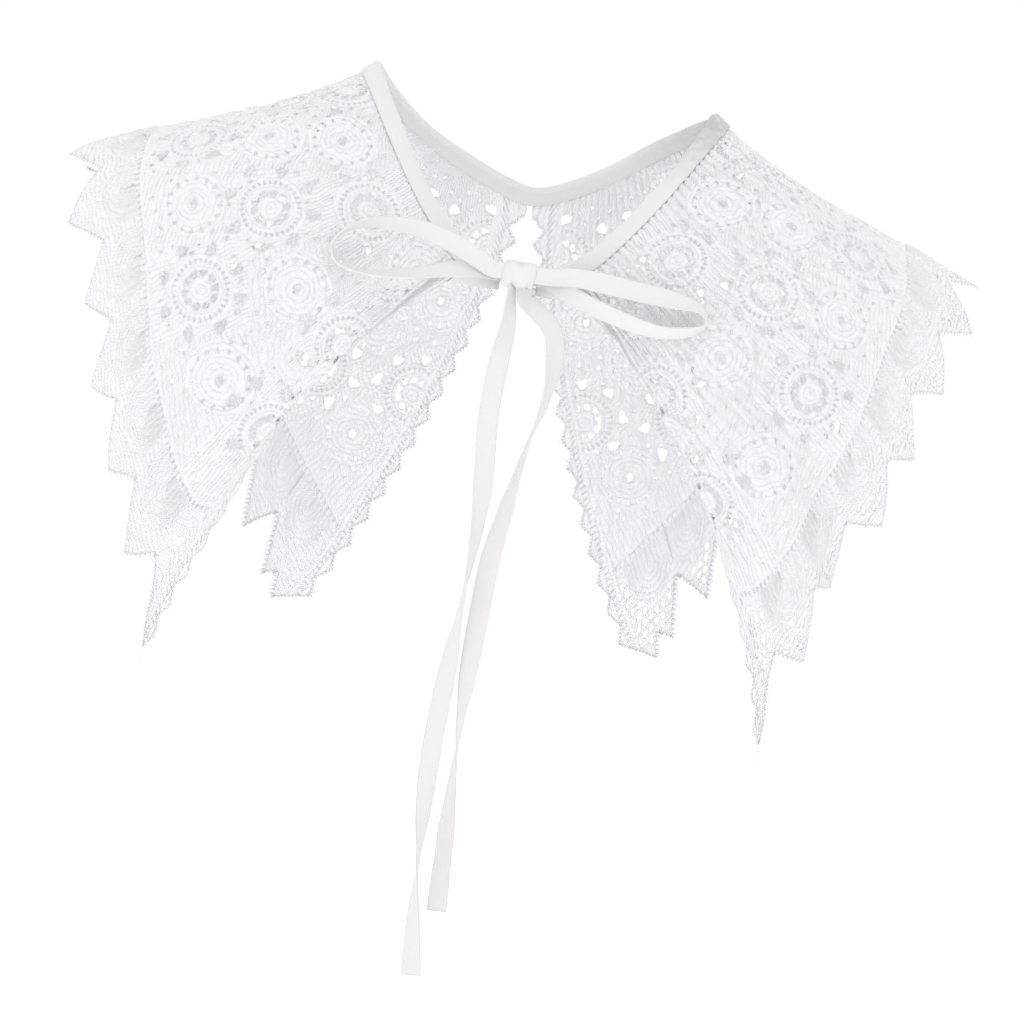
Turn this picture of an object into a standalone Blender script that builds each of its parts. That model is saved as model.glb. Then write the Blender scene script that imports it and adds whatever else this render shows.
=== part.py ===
"""Lace cape collar, tied at the front with its own neck tape.

Two halves of heavy white crochet lace run from the front edge, over the
shoulder, to the back edge. A folded cotton tape binds both neck edges, joins
the halves at the back and runs on into the bow and its two hanging ties.
The collar is shown as worn: hollow, with the slope of the shoulders it was
cut for. The front faces -Y, Z is up, and left means -X. The origin is midway
between the two highest points of the neckline. Sizes are in millimetres and
become metres when a mesh is made.
"""
import math
from collections import namedtuple

import bmesh
import bpy
import numpy as np
from mathutils import Vector
from mathutils.geometry import delaunay_2d_cdt

MM = 0.001

# Cloth: the lace, the folded neck tape with its pocket, and the ribbon it becomes
LACE_THICKNESS = 1.2
TAPE_WIDTH, TAPE_PLY, TAPE_CLEARANCE = 10.0, 1.0, 0.5
TAPE_POCKET, LACE_TUCK, TAPE_ROUND = 4.2, 4.5, 1.0
RIBBON_THICKNESS, SEAM_GAP = 1.2, 0.3

# Neckline of one half: half width, then its depth to the front and to the back,
# its drop there, half the gap between the halves, and how round the corner is
NECK_HALF_WIDTH = 87.0
NECK_DEPTH = {"front": 80.0, "back": 58.0}
NECK_DROP = {"front": 96.0, "back": 46.5}
NECK_GAP = {"front": 14.0, "back": 1.0}
NECK_ROUND = {"front": 1.6, "back": 1.35}
SHOULDER = 0.49

# Sections of the right half, from the front edge to the back edge. share is the
# way along the hem; upper and lower lie a third and two thirds of the way from
# neck to hem; hem is on the line of the tooth tips.
Section = namedtuple("Section", "share upper lower hem")
SECTIONS = [
    Section(0.00, (71, -77, -145), (129, -76, -228), (153, -86, -322)),
    Section(0.05, (78, -90, -150), (128, -93, -224), (162, -84, -294)),
    Section(0.14, (95, -105, -128), (147, -104, -188), (178, -78, -244)),
    Section(0.26, (113, -93, -86), (164, -93, -132), (203, -63, -178)),
    Section(0.38, (127, -60, -44), (180, -64, -77), (227, -42, -115)),
    Section(0.49, (134, 0, -28), (186, 0, -48), (237, 0, -68)),
    Section(0.61, (127, 54, -36), (176, 64, -70), (213, 49, -109)),
    Section(0.74, (103, 78, -66), (143, 93, -115), (175, 78, -170)),
    Section(0.87, (66, 88, -100), (103, 101, -165), (135, 93, -234)),
    Section(1.00, (22, 84, -130), (50, 98, -212), (96, 99, -300)),
]
# The back edges start side by side below the tape: pull, and where it begins
BACK_EDGE_PULL, BACK_PULL_FROM, BACK_PULL_FADE = 68.0, 0.84, 6

# The two halves lie a little unlike: the left one has slid forward at its hem,
# by a share of the hem, and the back of the neck leans up on the right
LEFT_TURN, TURN_POWER, NECK_LEAN, LEAN_FADE = 0.046, 3, 4.0, 2

# Soft folds of the hanging lace: side, share along the hem, half width in
# share, and how far the cloth stands out at the hem
Fold = namedtuple("Fold", "side share reach rise")
FOLDS = [
    Fold(-1, 0.20, 0.035, 5.0),
    Fold(-1, 0.31, 0.035, -5.0),
    Fold(-1, 0.70, 0.045, 5.0),
    Fold(-1, 0.83, 0.045, -4.0),
    Fold(1, 0.17, 0.030, -6.0),
    Fold(1, 0.25, 0.035, 5.0),
    Fold(1, 0.34, 0.035, -4.0),
    Fold(1, 0.73, 0.045, -5.0),
    Fold(1, 0.86, 0.045, 4.0),
]

# Hem teeth, measured along the hem from the front point
FIRST_NOTCH_AT, FIRST_TOOTH = 36.0, 56.0
FRONT_PITCH, FRONT_TEETH, BACK_PITCH, BACK_TEETH = 39.2, 7, 34.4, 7
LAST_PITCH, LAST_NOTCH, TOOTH_DEPTH, BACK_POINT_CUT = 28.0, 8.0, 22.0, 19.0
# Small teeth down the front and back edges, from below the tape
EDGE_TOOTH_PITCH, EDGE_TOOTH_DEPTH, EDGE_TOP = 16.0, 5.0, 16.0

# Open work: rows of wheels and flowers by turns, each row at a distance from
# the tooth tips, with a ring of open holes round each wheel
ROW_DISTANCES = (80.0, 123.0, 166.0, 209.0)
MOTIF_SPACING = 43.0
WHEEL_HOLES, HOLE_RING, HOLE_DIAMETER, HOLE_CORNERS = 8, 21.0, 6.0, 6
PLAIN_EDGE, PLAIN_NECK, HEM_BORDER = 16.0, 17.0, 50.0

# Where slopes are read near the neck and the hem, as parts of the way down
NEAR_EDGE, NEAR_HEM = 0.01, 0.8

# Spacing of the points that let the flat cut follow the worn form, the way
# the surface is measured, and the distance within which points are one
GRID_STEP, GRID_MARGIN, SHOULDER_ROWS, RULER = 13.0, 6.0, 13, 600
NECK_COLUMNS, FRONT_CROWDING, COLUMN_CLEAR = 44, 1.5, 0.5
FALL_STEPS, SLOPE_STEP, MERGE_WITHIN = 26, 1e-3, 1e-6

# Bow: the knot's box, then the ribbon's path, with turn in degrees from
# edge-on (0) to facing the front (90)
KNOT_LEFT, KNOT_RIGHT = 7.5, 10.0
KNOT_FRONT, KNOT_BACK, KNOT_TOP, KNOT_BOTTOM, KNOT_ROUND = -91.0, -77.0, -95.0, -109.0, 2.5
Bend = namedtuple("Bend", "x y z turn")
LEFT_LOOP = [
    Bend(-8.1, -87.5, -101, 88),
    Bend(-12, -88.2, -101, 87),
    Bend(-21, -94, -97, 80),
    Bend(-36, -100, -91, 68),
    Bend(-53, -103, -87.5, 52),
    Bend(-69, -106, -87.5, 30),
    Bend(-82, -108, -91.5, 10),
    Bend(-89.5, -109, -98, 0),
    Bend(-91.5, -109, -104.5, 0),
    Bend(-88, -109, -111, 2),
    Bend(-78, -108, -114, 10),
    Bend(-62, -105, -113, 22),
    Bend(-46, -101, -109.5, 38),
    Bend(-31, -95, -105, 56),
    Bend(-20, -89, -102.5, 72),
    Bend(-12, -84.4, -102, 84),
    Bend(-8.1, -83.6, -102, 88),
]
RIGHT_LOOP = [
    Bend(10.6, -87.5, -101, 88),
    Bend(15, -88.5, -101, 87),
    Bend(30, -97, -99.8, 84),
    Bend(51, -104, -101.5, 80),
    Bend(71, -109, -103.5, 68),
    Bend(86, -112, -105.5, 40),
    Bend(93.5, -113, -109, 12),
    Bend(94, -112, -113.5, 8),
    Bend(87, -111, -117.5, 22),
    Bend(73, -108, -119.5, 36),
    Bend(57, -104, -117, 46),
    Bend(41, -98, -112.5, 56),
    Bend(26, -91, -107, 68),
    Bend(15, -84.6, -102, 84),
    Bend(10.6, -83.6, -102, 88),
]
LEFT_TIE = [
    Bend(-1.5, -85, -109.4, 15),
    Bend(-1.5, -85, -113, 22),
    Bend(-0.6, -88, -127, 46),
    Bend(-2.3, -91, -150, 78),
    Bend(-2.8, -92, -175, 90),
    Bend(-0.9, -92, -200, 72),
    Bend(0, -92, -225, 42),
    Bend(-1, -92, -252, 8),
    Bend(-2.5, -92, -280, -28),
    Bend(-3.9, -92, -310, -72),
    Bend(-4.8, -92, -345, -98),
    Bend(-3.3, -92, -380, -150),
    Bend(-1.3, -92, -414, -205),
    Bend(2.5, -92, -451, -262),
]
RIGHT_TIE = [
    Bend(5.8, -83, -109.4, 60),
    Bend(6, -83, -112.5, 62),
    Bend(12, -84, -118, 66),
    Bend(20.5, -85, -125, 72),
    Bend(24.5, -85, -137, 60),
    Bend(23.4, -85, -161, 22),
    Bend(17.5, -85, -187, -8),
    Bend(12.4, -85, -218, -46),
    Bend(9.0, -85, -243, -78),
    Bend(7.8, -85, -273, -92),
    Bend(7.3, -85, -305, -130),
    Bend(7.6, -85, -337, -178),
    Bend(8.6, -85, -372, -226),
    Bend(10, -85, -418.5, -262),
]
LOOP_STEP, TIE_STEP, TANGENT_REACH = 5.0, 9.0, 0.1

# Finishes: warm white cotton tape and cooler white lace
LACE_COLOUR, LACE_ROUGHNESS, LACE_SHEEN = (0.83, 0.83, 0.84), 0.95, 0.15
TAPE_COLOUR, TAPE_ROUGHNESS, TAPE_SHEEN = (0.84, 0.82, 0.80), 0.85, 0.25


def interpolate(rows, at):
    """Smooth values between rows of (position, value...)."""
    rows = np.array(rows, dtype=float)
    knots, values = rows[:, 0], rows[:, 1:]
    slopes = np.empty_like(values)
    slopes[1:-1] = (values[2:] - values[:-2]) / (knots[2:] - knots[:-2])[:, None]
    slopes[0] = (values[1] - values[0]) / (knots[1] - knots[0])
    slopes[-1] = (values[-1] - values[-2]) / (knots[-1] - knots[-2])
    at = np.atleast_1d(at)
    i = np.clip(np.searchsorted(knots, at, side="right") - 1, 0, len(knots) - 2)
    span = (knots[i + 1] - knots[i])[:, None]
    t = (at - knots[i])[:, None] / span
    return (
        (2 * t**3 - 3 * t**2 + 1) * values[i]
        + (t**3 - 2 * t**2 + t) * span * slopes[i]
        + (3 * t**2 - 2 * t**3) * values[i + 1]
        + (t**3 - t**2) * span * slopes[i + 1]
    )


def unit(vectors):
    return vectors / np.linalg.norm(vectors, axis=-1, keepdims=True)


def neckline(share):
    """Points on the top edge of the neck tape, right half."""
    front = share < SHOULDER
    turn = (share - SHOULDER) / np.where(front, SHOULDER, 1 - SHOULDER) * (math.pi / 2)
    gap, depth, drop, power = (
        np.where(front, size["front"], size["back"])
        for size in (NECK_GAP, NECK_DEPTH, NECK_DROP, NECK_ROUND)
    )
    side = np.clip(np.cos(turn), 0, 1)
    x = gap + (NECK_HALF_WIDTH - gap) * side
    return np.stack([x, depth * np.sin(turn), -drop * (1 - side**power)], axis=1)


def plain_surface(share, down):
    """The worn lace without its folds. down is 0 at the neck and 1 at the hem."""
    share, down = np.broadcast_arrays(np.atleast_1d(share), np.atleast_1d(down))
    share, down = share.astype(float), down.astype(float)
    upper = interpolate([(s.share, *s.upper) for s in SECTIONS], share)
    lower = interpolate([(s.share, *s.lower) for s in SECTIONS], share)
    hem = interpolate([(s.share, *s.hem) for s in SECTIONS], share)
    v = down[:, None]
    points = (
        neckline(share) * (1 - 3 * v) * (2 - 3 * v) * (1 - v) / 2
        + upper * 9 * v * (2 - 3 * v) * (1 - v) / 2
        - lower * 9 * v * (1 - 3 * v) * (1 - v) / 2
        + hem * v * (1 - 3 * v) * (2 - 3 * v) / 2
    )
    pull = np.clip((share - BACK_PULL_FROM) / (1 - BACK_PULL_FROM), 0, 1) ** 2
    fade = down * np.clip(1 - down, 0, 1) ** BACK_PULL_FADE
    points[:, 0] -= BACK_EDGE_PULL * pull * fade
    return points


def slopes(share, down, step=SLOPE_STEP):
    """Change of the surface's points along the hem, and down the lace."""
    along = plain_surface(share + step, down) - plain_surface(share - step, down)
    fall = plain_surface(share, down + step) - plain_surface(share, down - step)
    return along / (2 * step), fall / (2 * step)


def outward(share, down):
    along, fall = slopes(share, down)
    return unit(np.cross(fall, along))


def worn(share, down, side, lift=0.0):
    """Points on one half as worn, with its folds, lifted off the lace's middle.

    side is 1 for +X and -1 for -X.
    """
    rise = np.zeros_like(share)
    for fold in FOLDS:
        if fold.side == side:
            rise += fold.rise * np.exp(-(((share - fold.share) / fold.reach) ** 2))
    low = np.clip(down, 0, 1)
    turn = LEFT_TURN * low * np.sin(math.pi * share) ** TURN_POWER if side < 0 else 0.0
    placed = share + turn
    off = lift + rise * low**2
    points = plain_surface(placed, down) + outward(placed, down) * off[:, None]
    back = np.clip((share - SHOULDER) / (1 - SHOULDER), 0, 1)
    points[:, 2] += side * NECK_LEAN * np.sin(math.pi * back) ** 2 * (1 - low) ** LEAN_FADE
    return points * (side, 1, 1)


def path_lengths(points):
    steps = np.linalg.norm(np.diff(points, axis=0), axis=1)
    return np.concatenate([[0.0], np.cumsum(steps)])


# Rulers along the hem: distance from the front point, length of the lace from
# neck to hem, and the slant of that length to the hem
RULER_SHARES = np.linspace(0, 1, RULER)
HEM_DISTANCES = path_lengths(plain_surface(RULER_SHARES, 1.0))
HEM_LENGTH = HEM_DISTANCES[-1]
DOWN_STEPS = np.linspace(0, 1, FALL_STEPS)
FALL_LENGTHS = sum(
    np.linalg.norm(plain_surface(RULER_SHARES, low) - plain_surface(RULER_SHARES, high), axis=1)
    for high, low in zip(DOWN_STEPS, DOWN_STEPS[1:])
)
HEM_SLANTS = np.linalg.norm(np.cross(*map(unit, slopes(RULER_SHARES, NEAR_HEM))), axis=1)


def fall_length(share):
    return np.interp(share, RULER_SHARES, FALL_LENGTHS)


def down_from_hem(share, distance):
    """How far down a point lies that is a distance in from the tooth tips."""
    slant = np.interp(share, RULER_SHARES, HEM_SLANTS)
    return 1 - distance / (fall_length(share) * slant)


def down_from_neck(share, distance):
    """How far down a point lies that is a distance in from the neck edge."""
    along, fall = slopes(share, NEAR_EDGE)
    return distance / np.linalg.norm(np.cross(fall, unit(along)), axis=1)


def in_plane(share, down, across, up):
    """A point moved within the lace: across along the hem, up towards it."""
    along, fall = (vectors[0] for vectors in slopes(share, down))
    first = unit(along)
    second = unit(fall - first * fall.dot(first))
    d_down = up / fall.dot(second)
    d_share = (across - d_down * fall.dot(first)) / np.linalg.norm(along)
    return float(share + d_share), float(down + d_down)


def hem_corners():
    """Corners of the hem, as (distance along it, depth in from the tips)."""
    tips = [FIRST_TOOTH + FRONT_PITCH * i for i in range(FRONT_TEETH)]
    tips += [tips[-1] + BACK_PITCH * (i + 1) for i in range(BACK_TEETH)]
    tips.append(tips[-1] + LAST_PITCH)
    notches = [FIRST_NOTCH_AT] + [(a + b) / 2 for a, b in zip(tips, tips[1:])]
    corners = [(0.0, 0.0)]
    for notch, tip in zip(notches, tips):
        corners += [(notch, TOOTH_DEPTH), (tip, 0.0)]
    end = HEM_LENGTH - BACK_POINT_CUT
    return corners + [((tips[-1] + end) / 2, LAST_NOTCH), (end, 0.0)]


def hem_outline(first, last):
    """The teeth between two shares, as (share, down)."""
    placed = [(np.interp(at, HEM_DISTANCES, RULER_SHARES), depth) for at, depth in hem_corners()]
    clear = TAPE_WIDTH / HEM_LENGTH
    middle = [corner for corner in placed if first + clear < corner[0] < last - clear]
    end = [] if last == 1 else [(last, 0.0)]
    return [
        (float(share), float(down_from_hem(share, depth)))
        for share, depth in [(first, 0.0)] + middle + end
    ]


def edge_outline(share, inward, top, bottom):
    """Small teeth down a front or back edge, as (share, down)."""
    count = round((bottom - top) * fall_length(share) / EDGE_TOOTH_PITCH)
    downs = np.linspace(top, bottom, 2 * count + 1)
    along = slopes(share, downs)[0]
    reach = inward * EDGE_TOOTH_DEPTH / np.linalg.norm(along, axis=1)
    return [(float(share + reach[i] * (i % 2)), float(down)) for i, down in enumerate(downs)]


def neck_columns(first, last):
    """Shares of the sections along the neck, closer together at the front."""
    every = np.linspace(0, 1, NECK_COLUMNS + 1) ** FRONT_CROWDING
    clear = COLUMN_CLEAR / NECK_COLUMNS
    inside = [float(share) for share in every[1:-1] if share < last - clear]
    return [first] + [share for share in inside if share > first + clear or first == 0] + [last]


def neck_line(columns, distance):
    downs = down_from_neck(np.array(columns), distance)
    return [(share, float(down)) for share, down in zip(columns, downs)]


def lace_outline(first, last):
    """The cut edge of a lace piece, and the line where the tape ends on it."""
    columns = neck_columns(first, last)
    neck, seam = neck_line(columns, LACE_TUCK), neck_line(columns, TAPE_WIDTH)
    front_top, back_top = (neck_line([share], EDGE_TOP)[0][1] for share in (first, last))
    if first == 0:
        front = edge_outline(first, 1, front_top, 1.0)[:-1]
    else:
        front = [(first, float(down)) for down in np.linspace(front_top, 1, SHOULDER_ROWS)[:-1]]
    if last == 1:
        bottom = float(down_from_hem(1.0, BACK_POINT_CUT))
        back = edge_outline(last, -1, back_top, bottom)[::-1]
    else:
        back = [(last, float(down)) for down in np.linspace(back_top, 1, SHOULDER_ROWS)[:-1]][::-1]
    outline = neck[::-1] + [seam[0]] + front + hem_outline(first, last) + back + [seam[-1]]
    return outline, seam


def wheels_and_flowers():
    """Centres of the motifs in one half, as (kind, share, down)."""
    motifs = []
    for row, distance in enumerate(ROW_DISTANCES):
        downs = down_from_hem(RULER_SHARES, distance)
        lengths = path_lengths(plain_surface(RULER_SHARES, downs))
        clear = downs * FALL_LENGTHS > PLAIN_NECK + HOLE_DIAMETER
        count = int((lengths[-1] - 2 * PLAIN_EDGE) / MOTIF_SPACING)
        start = (lengths[-1] - count * MOTIF_SPACING) / 2
        for i in range(count + 1):
            spot = int(np.searchsorted(lengths, start + i * MOTIF_SPACING))
            if clear[spot]:
                kind = "wheel" if (i + row) % 2 == 0 else "flower"
                motifs.append((kind, float(RULER_SHARES[spot]), float(downs[spot])))
    return motifs


def open_holes():
    """Centres of the open holes in one half, as (share, down)."""
    holes, placed = [], []
    for kind, share, down in wheels_and_flowers():
        for i in range(WHEEL_HOLES if kind == "wheel" else 0):
            angle = 2 * math.pi * (i + 0.5) / WHEEL_HOLES
            across, up = HOLE_RING * math.cos(angle), HOLE_RING * math.sin(angle)
            spot = in_plane(share, down, across, up)
            if min(*spot, 1 - spot[0], 1 - spot[1]) < NEAR_EDGE:
                continue
            width = np.linalg.norm(slopes(*spot)[0])
            where = plain_surface(*spot)[0]
            clear = (
                min(spot[0], 1 - spot[0]) * width > PLAIN_EDGE
                and spot[1] * fall_length(spot[0]) > PLAIN_NECK
                and spot[1] < down_from_hem(spot[0], HEM_BORDER)
                and abs(spot[0] - SHOULDER) * width > HOLE_DIAMETER
                and all(np.linalg.norm(where - other) > 2 * HOLE_DIAMETER for other in placed)
            )
            if clear:
                holes.append(spot)
                placed.append(where)
    return holes


def hole_outline(share, down):
    turns = [2 * math.pi * i / HOLE_CORNERS for i in range(HOLE_CORNERS)]
    radius = HOLE_DIAMETER / 2
    return [in_plane(share, down, radius * math.cos(a), radius * math.sin(a)) for a in turns]


def inner_points(first, last, loops):
    """Points inside the cut that let the lace follow its curves."""
    edges = np.concatenate([plain_surface(*map(np.array, zip(*loop))) for loop in loops])
    neck_length = path_lengths(neckline(RULER_SHARES))[-1]
    rows = int(FALL_LENGTHS.max() / GRID_STEP)
    points = []
    for row in np.arange(1, rows) / rows:
        width = (neck_length + (HEM_LENGTH - neck_length) * row) * (last - first)
        columns = max(int(width / GRID_STEP), 2)
        shares = first + (last - first) * np.arange(1, columns) / columns
        low = down_from_hem(shares, TOOTH_DEPTH + GRID_MARGIN)
        high = (TAPE_WIDTH + GRID_MARGIN) / fall_length(shares)
        downs = high + (low - high) * row
        for share, down, where in zip(shares, downs, plain_surface(shares, downs)):
            if np.linalg.norm(edges - where, axis=1).min() > GRID_MARGIN:
                points.append((float(share), float(down)))
    return points


def on_cloth(spots, loops):
    """Whether each spot lies inside the outline and outside every hole."""
    odd = np.zeros(len(spots), dtype=bool)
    x, y = spots[:, 0], spots[:, 1]
    for loop in loops:
        for (x0, y0), (x1, y1) in zip(loop, loop[1:] + loop[:1]):
            if y0 != y1:
                crosses = (y0 > y) != (y1 > y)
                odd ^= crosses & (x < x0 + (y - y0) * (x1 - x0) / (y1 - y0))
    return odd


def cut_lace(first, last, holes):
    """Triangles of the flat cut with its open holes, as (points, faces)."""
    outline, seam = lace_outline(first, last)
    inside = [spot for spot in holes if first < spot[0] < last]
    loops = [outline] + [hole_outline(*spot) for spot in inside]
    points, edges = [], []
    for loop in loops:
        ring = list(range(len(points), len(points) + len(loop)))
        points += loop
        edges += list(zip(ring, ring[1:] + ring[:1]))
    line = list(range(len(points), len(points) + len(seam) - 2))
    points += seam[1:-1]
    edges += list(zip(line, line[1:]))
    points += inner_points(first, last, loops)
    depth = float(FALL_LENGTHS.mean())
    flat = [Vector((share * HEM_LENGTH, down * depth)) for share, down in points]
    verts, _, faces = delaunay_2d_cdt(flat, edges, [], 0, MERGE_WITHIN)[:3]
    placed = np.array([(p.x / HEM_LENGTH, p.y / depth) for p in verts])
    centres = np.array([placed[list(face)].mean(axis=0) for face in faces])
    return placed, [face for face, kept in zip(faces, on_cloth(centres, loops)) if kept]


def finish(name, colour, roughness, sheen):
    """A matt cotton finish."""
    material = bpy.data.materials.new(name)
    material.use_nodes = True
    shader = material.node_tree.nodes["Principled BSDF"]
    shader.inputs["Base Color"].default_value = (*colour, 1)
    shader.inputs["Roughness"].default_value = roughness
    shader.inputs["Sheen Weight"].default_value = sheen
    return material


def add_piece(name, shape, collection, material):
    """A named object from a finished bmesh."""
    mesh = bpy.data.meshes.new(name)
    shape.to_mesh(mesh)
    shape.free()
    mesh.materials.append(material)
    mesh.shade_smooth()
    piece = bpy.data.objects.new(name, mesh)
    collection.objects.link(piece)
    return piece


def add_lace(name, side, cut, collection, material):
    """A lace piece: the flat cut laid on the worn surface and given thickness."""
    points, faces = cut
    shape = bmesh.new()
    verts = [shape.verts.new(point) for point in worn(points[:, 0], points[:, 1], side) * MM]
    for face in faces:
        shape.faces.new([verts[i] for i in face])
    loose = [v for v in verts if not v.link_faces]
    bmesh.ops.delete(shape, geom=loose, context="VERTS")
    bmesh.ops.recalc_face_normals(shape, faces=shape.faces)
    piece = add_piece(name, shape, collection, material)
    wall = piece.modifiers.new("thickness", "SOLIDIFY")
    wall.thickness = LACE_THICKNESS * MM
    wall.offset = 0.0
    wall.use_even_offset = True
    return piece


def add_loft(name, rings, collection, material):
    """A closed solid through rings of matching points, with flat ends."""
    shape = bmesh.new()
    loops = []
    for ring in rings:
        verts = [shape.verts.new(point) for point in ring]
        loops.append([shape.edges.new(pair) for pair in zip(verts, verts[1:] + verts[:1])])
    for near, far in zip(loops, loops[1:]):
        bmesh.ops.bridge_loops(shape, edges=near + far)
    bmesh.ops.holes_fill(shape, edges=loops[0])
    bmesh.ops.holes_fill(shape, edges=loops[-1])
    bmesh.ops.triangulate(shape, faces=shape.faces)
    bmesh.ops.recalc_face_normals(shape, faces=shape.faces)
    return add_piece(name, shape, collection, material)


def binding_ring(share, side, end=None):
    """Section of the folded tape, which straddles the neck edge of the lace.

    end is the x where the tape stops square, in line with this section.
    """
    inner = LACE_THICKNESS / 2 + TAPE_CLEARANCE
    outer = inner + TAPE_PLY
    section = np.array([
        (TAPE_WIDTH, inner), (TAPE_POCKET, inner), (TAPE_POCKET, -inner),
        (TAPE_WIDTH, -inner), (TAPE_WIDTH, -outer), (TAPE_ROUND, -outer),
        (0.0, -inner), (0.0, inner), (TAPE_ROUND, outer), (TAPE_WIDTH, outer),
    ])
    downs = down_from_neck(share, 1.0) * section[:, 0]
    points = worn(np.full(len(section), share), downs, side, section[:, 1])
    if end is not None:
        points[:, 0] = side * end
    return points * MM


def add_binding(name, collection, material):
    """The neck tape from one side of the knot, round the back, to the other."""
    columns = neck_columns(0.0, 1.0)[:-1]
    rings = [binding_ring(0.0, 1, KNOT_RIGHT + SEAM_GAP)]
    rings += [binding_ring(share, 1) for share in columns]
    rings.append(binding_ring(1.0, 1, 0.0))
    rings += [binding_ring(share, -1) for share in columns[::-1]]
    rings.append(binding_ring(0.0, -1, KNOT_LEFT + SEAM_GAP))
    return add_loft(name, rings, collection, material)


def add_ribbon(name, bends, step, collection, material):
    """A flat ribbon swept along its bends, turning as it goes."""
    corners = np.array([(b.x, b.y, b.z) for b in bends], dtype=float)
    knots = path_lengths(corners)
    rows = [(knot, *bend) for knot, bend in zip(knots, bends)]
    stations = np.linspace(0, knots[-1], round(knots[-1] / step) + 1)
    values = interpolate(rows, stations)
    line, turns = values[:, :3], np.radians(values[:, 3])[:, None]
    nudge = np.clip(stations, TANGENT_REACH, knots[-1] - TANGENT_REACH)
    ahead, behind = (interpolate(rows, nudge + r)[:, :3] for r in (TANGENT_REACH, -TANGENT_REACH))
    forward = unit(ahead - behind)
    depth = unit(np.array([0, 1, 0]) - forward * forward[:, 1:2])
    wide = depth * np.cos(turns) + np.cross(forward, depth) * np.sin(turns)
    thick = np.cross(forward, wide)
    halves = [(1, 1), (-1, 1), (-1, -1), (1, -1)]
    rings = [
        [(p + w * TAPE_WIDTH / 2 * a + t * RIBBON_THICKNESS / 2 * b) * MM for a, b in halves]
        for p, w, t in zip(line, wide, thick)
    ]
    return add_loft(name, rings, collection, material)


def add_knot(name, collection, material):
    """The small wrapped knot where the ribbon crosses."""
    low = Vector((-KNOT_LEFT, KNOT_FRONT, KNOT_BOTTOM)) * MM
    high = Vector((KNOT_RIGHT, KNOT_BACK, KNOT_TOP)) * MM
    shape = bmesh.new()
    bmesh.ops.create_cube(shape, size=1.0)
    bmesh.ops.scale(shape, vec=high - low, verts=shape.verts)
    bmesh.ops.translate(shape, vec=(high + low) / 2, verts=shape.verts)
    bmesh.ops.bevel(
        shape, geom=shape.edges[:], offset=KNOT_ROUND * MM, segments=3, profile=0.5,
        affect="EDGES", material=-1,
    )
    return add_piece(name, shape, collection, material)


def build():
    for existing in list(bpy.data.objects):
        bpy.data.objects.remove(existing)
    collection = bpy.data.collections.new("lace collar")
    bpy.context.scene.collection.children.link(collection)
    lace = finish("white cotton lace", LACE_COLOUR, LACE_ROUGHNESS, LACE_SHEEN)
    tape = finish("white cotton tape", TAPE_COLOUR, TAPE_ROUGHNESS, TAPE_SHEEN)

    holes = open_holes()
    parting = SEAM_GAP / HEM_LENGTH
    front = cut_lace(0.0, SHOULDER - parting, holes)
    back = cut_lace(SHOULDER + parting, 1.0, holes)
    for side, word in ((-1, "left"), (1, "right")):
        add_lace(f"lace_{word}_front", side, front, collection, lace)
        add_lace(f"lace_{word}_back", side, back, collection, lace)
    add_binding("neck_binding", collection, tape)
    add_knot("bow_knot", collection, tape)
    add_ribbon("bow_loop_left", LEFT_LOOP, LOOP_STEP, collection, tape)
    add_ribbon("bow_loop_right", RIGHT_LOOP, LOOP_STEP, collection, tape)
    add_ribbon("tie_left", LEFT_TIE, TIE_STEP, collection, tape)
    add_ribbon("tie_right", RIGHT_TIE, TIE_STEP, collection, tape)


build()
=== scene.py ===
"""Lace cape collar, tied at the front with its own neck tape: the finished look.

Everything stands in the frame of the solid model: the front faces -Y, Z is up,
left means -X, and the origin is midway between the highest points of the
neckline. Sizes are in millimetres until a mesh is laid, which is in metres.
"""
import math
from collections import namedtuple
from functools import partial

import bmesh
import bpy
import numpy as np
from mathutils import Matrix, Vector


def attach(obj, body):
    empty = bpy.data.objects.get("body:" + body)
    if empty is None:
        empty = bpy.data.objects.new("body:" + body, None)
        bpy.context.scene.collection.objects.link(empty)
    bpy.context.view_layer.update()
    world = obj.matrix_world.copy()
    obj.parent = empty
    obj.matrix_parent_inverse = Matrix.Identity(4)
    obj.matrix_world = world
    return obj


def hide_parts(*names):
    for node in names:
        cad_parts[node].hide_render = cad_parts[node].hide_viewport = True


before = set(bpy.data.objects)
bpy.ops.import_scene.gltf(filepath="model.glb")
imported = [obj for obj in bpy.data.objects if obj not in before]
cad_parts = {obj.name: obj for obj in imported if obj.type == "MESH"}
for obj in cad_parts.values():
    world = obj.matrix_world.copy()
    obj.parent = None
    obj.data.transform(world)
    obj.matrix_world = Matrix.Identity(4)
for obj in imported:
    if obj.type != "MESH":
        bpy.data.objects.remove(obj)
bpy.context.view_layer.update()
MM = 0.001

# Camera
# It looks level at the front of the collar, from just below the shoulders, and
# is rolled so that the collar leans in the picture as it does in the photograph.
CAMERA_PLACE, CAMERA_ROLL, CAMERA_LENS = (0.016, -2.060, -0.218), math.radians(9), 140.6
camera = bpy.data.objects.new("camera", bpy.data.cameras.new("camera"))
bpy.context.scene.collection.objects.link(camera)
camera.data.lens = CAMERA_LENS
camera.data.sensor_width = 36
facing_back = Matrix.Rotation(math.pi / 2, 4, "X") @ Matrix.Rotation(CAMERA_ROLL, 4, "Z")
camera.matrix_world = Matrix.Translation(CAMERA_PLACE) @ facing_back
bpy.context.scene.camera = camera


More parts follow.
